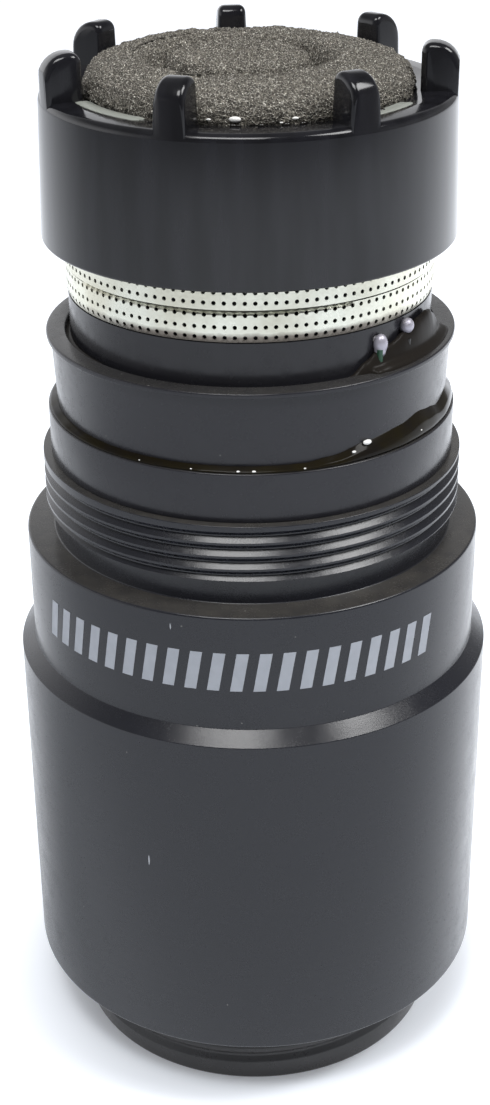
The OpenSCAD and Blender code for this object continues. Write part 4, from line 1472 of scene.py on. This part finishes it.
class Studio:
    """The camera, the floor and the soft light."""

    eye = Vector((0.0, -0.136099, 0.113137))
    pitch = 0.469319
    roll = -0.01138745
    yaw = 0.00465832
    lens = 58.10
    # The floor's glow: glow_seen to the camera, the rest only in reflections, a painted reflection; shade_r,
    # clear_r and shade_share set the painted shadow round the foot.
    glow_seen = 0.68
    glow_near = 0.08
    glow_behind = 0.6
    glow_beside = 0.37
    glow_foot = 0.35
    shade_r = 15.5
    clear_r = 27.0
    shade_share = 0.28
    bright_side = (0.755, 0.656, 0.0)
    aim = Vector((0.0, 0.0, 0.055))
    lamp_distance = 700.0
    lamps = (
        ("softbox_front", -15.0, 62.0, (0.36, 0.22), 1.9),
        ("softbox_front_middle", -15.0, 62.0, (0.12, 0.08), 1.05),
        ("softbox_right", 73.0, 53.0, (0.34, 0.22), 2.0),
        ("softbox_right_middle", 73.0, 53.0, (0.12, 0.08), 1.25),
    )

    def camera(self) -> None:
        """Sets up the camera where the photograph was taken from."""
        sy, cy = math.sin(self.yaw), math.cos(self.yaw)
        sp, cp = math.sin(self.pitch), math.cos(self.pitch)
        ahead = Vector((-sy * cp, cy * cp, -sp))
        over = Vector((-sy * sp, cy * sp, cp))
        side = Vector((cy, sy, 0.0))
        right = math.cos(self.roll) * side + math.sin(self.roll) * over
        up = -math.sin(self.roll) * side + math.cos(self.roll) * over
        bpy.ops.object.camera_add(location=self.eye)
        camera = bpy.context.object
        camera.name = "photo_camera"
        turn = Matrix((right, up, -ahead)).transposed().to_4x4()
        camera.matrix_world = Matrix.Translation(self.eye) @ turn
        camera.data.lens = self.lens
        camera.data.sensor_width = 36.0
        camera.data.clip_start = 0.005
        bpy.context.scene.camera = camera

    def softbox(self, name: str, azimuth: float, elevation: float, size: Point, power: float) -> None:
        """Adds a soft lamp that faces the object.

        Args:
            name: The lamp's name.
            azimuth: Degrees from the front towards the right.
            elevation: Degrees above the horizon.
            size: Its width and height in metres.
            power: Its power in watts.
        """
        rise = math.radians(elevation)
        flat = around(self.lamp_distance * math.cos(rise), azimuth, self.lamp_distance * math.sin(rise))
        bpy.ops.object.light_add(type="AREA", location=self.aim + flat)
        lamp = bpy.context.object
        lamp.name = name
        lamp.rotation_euler = (-flat).to_track_quat("-Z", "Y").to_euler()
        lamp.data.shape = "RECTANGLE"
        lamp.data.size, lamp.data.size_y = size
        lamp.data.energy = power

    def floor(self) -> None:
        """Lays the white floor, which keeps the object's shadow, with a painted shadow round the foot where its
        glow is weaker, and a painted reflection where it glows in reflections only.
        """
        bpy.ops.mesh.primitive_plane_add(size=6.0, location=(0.0, 0.0, 0.0))
        floor = bpy.context.object
        floor.name = "floor_paper"
        paper = bpy.data.materials.new("paper_white_matt")
        paper.use_nodes = True
        tree = paper.node_tree
        tree.nodes.clear()
        matt = add_node(tree, "ShaderNodeBsdfDiffuse", {"Color": linear("#e3e8ef")})
        places = add_node(tree, "ShaderNodeTexCoord").outputs["Object"]
        way = vector_sum(tree, "NORMALIZE", places)
        depth = add_node(tree, "ShaderNodeSeparateXYZ", {"Vector": way}).outputs["Y"]
        behind = ramp(tree, depth, (-0.1, 0.7), (0.0, self.glow_behind), "SMOOTHSTEP")
        side = (self.glow_near, self.glow_near + self.glow_beside)
        along = vector_sum(tree, "DOT_PRODUCT", way, self.bright_side)
        beside = ramp(tree, along, (0.3, 1.0), side, "SMOOTHSTEP")
        zone = (self.shade_r * MM, self.clear_r * MM)
        away = ramp(tree, vector_sum(tree, "LENGTH", places), zone, easing="SMOOTHSTEP")
        # Round the foot the floor glows brighter in reflections: a painted reflection.
        filled = sum_of(tree, "MULTIPLY_ADD", away, -self.glow_foot, self.glow_foot)
        gloss = sum_of(tree, "ADD", sum_of(tree, "ADD", behind, beside), filled)
        path = add_node(tree, "ShaderNodeLightPath")
        in_gloss = sum_of(tree, "MULTIPLY", gloss, path.outputs["Is Glossy Ray"])
        # Close to the foot the glow to the camera is weaker: a painted shadow.
        shaded = self.glow_seen * self.shade_share
        seen = sum_of(tree, "MULTIPLY_ADD", away, self.glow_seen * (1.0 - self.shade_share), shaded)
        level = sum_of(tree, "MULTIPLY_ADD", path.outputs["Is Camera Ray"], seen, in_gloss)
        glow = add_node(tree, "ShaderNodeEmission", {"Color": linear("#f8faff"), "Strength": level})
        both = add_node(tree, "ShaderNodeAddShader", {0: matt.outputs[0], 1: glow.outputs[0]})
        add_node(tree, "ShaderNodeOutputMaterial", {"Surface": both.outputs[0]})
        floor.data.materials.append(paper)

    def sky(self) -> None:
        """Lights the room: white low down at the back and left, dim overhead, at the right and in front."""
        world = bpy.data.worlds.new("studio_room")
        bpy.context.scene.world = world
        world.use_nodes = True
        tree = world.node_tree
        tree.nodes.clear()
        way = add_node(tree, "ShaderNodeTexCoord").outputs["Generated"]
        parts = add_node(tree, "ShaderNodeSeparateXYZ", {"Vector": way})
        low = ramp(tree, parts.outputs["Z"], (0.25, 0.62), (1.4, 0.2))
        back = ramp(tree, parts.outputs["Y"], (-0.75, -0.1), (0.1, 1.0))
        left = ramp(tree, parts.outputs["X"], (-0.2, 0.55), (1.0, 0.25))
        level = sum_of(tree, "MULTIPLY", sum_of(tree, "MULTIPLY", low, back), left)
        seen = add_node(tree, "ShaderNodeLightPath").outputs["Is Camera Ray"]
        shown = sum_of(tree, "MAXIMUM", level, seen)
        glow = add_node(tree, "ShaderNodeBackground", {"Color": linear("#fbfcff"), "Strength": shown})
        add_node(tree, "ShaderNodeOutputWorld", {"Surface": glow.outputs[0]})

    def build(self) -> None:
        """Sets up the camera, floor, room and lamps."""
        clear_selection()
        bpy.context.scene.view_settings.view_transform = "Standard"
        self.camera()
        self.floor()
        self.sky()
        for lamp in self.lamps:
            self.softbox(*lamp)


def main() -> None:
    """Builds every sub-assembly in order and reports each piece."""
    logging.basicConfig(level=logging.INFO, format="%(name)s: %(message)s")
    for name, finish in NODE_FINISHES.items():
        dress_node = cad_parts[name]
        for slot in dress_node.material_slots:
            slot.material = finish.material()
        LOG.info("node %s wears %s", name, finish.name)
    assemblies = (
        Barrel(), PrintedMarks(), Base(), Mount(), Crown(), Foam(), MouthGlue(), SoundBand(), Bead(), Leads(),
        WellGlue(),
    )
    for assembly in assemblies:
        for piece in assembly.build():
            LOG.info("%s made %s, %d faces", type(assembly).__name__, piece.name, len(piece.data.polygons))
    Studio().build()


if __name__ == "__main__":
    main()
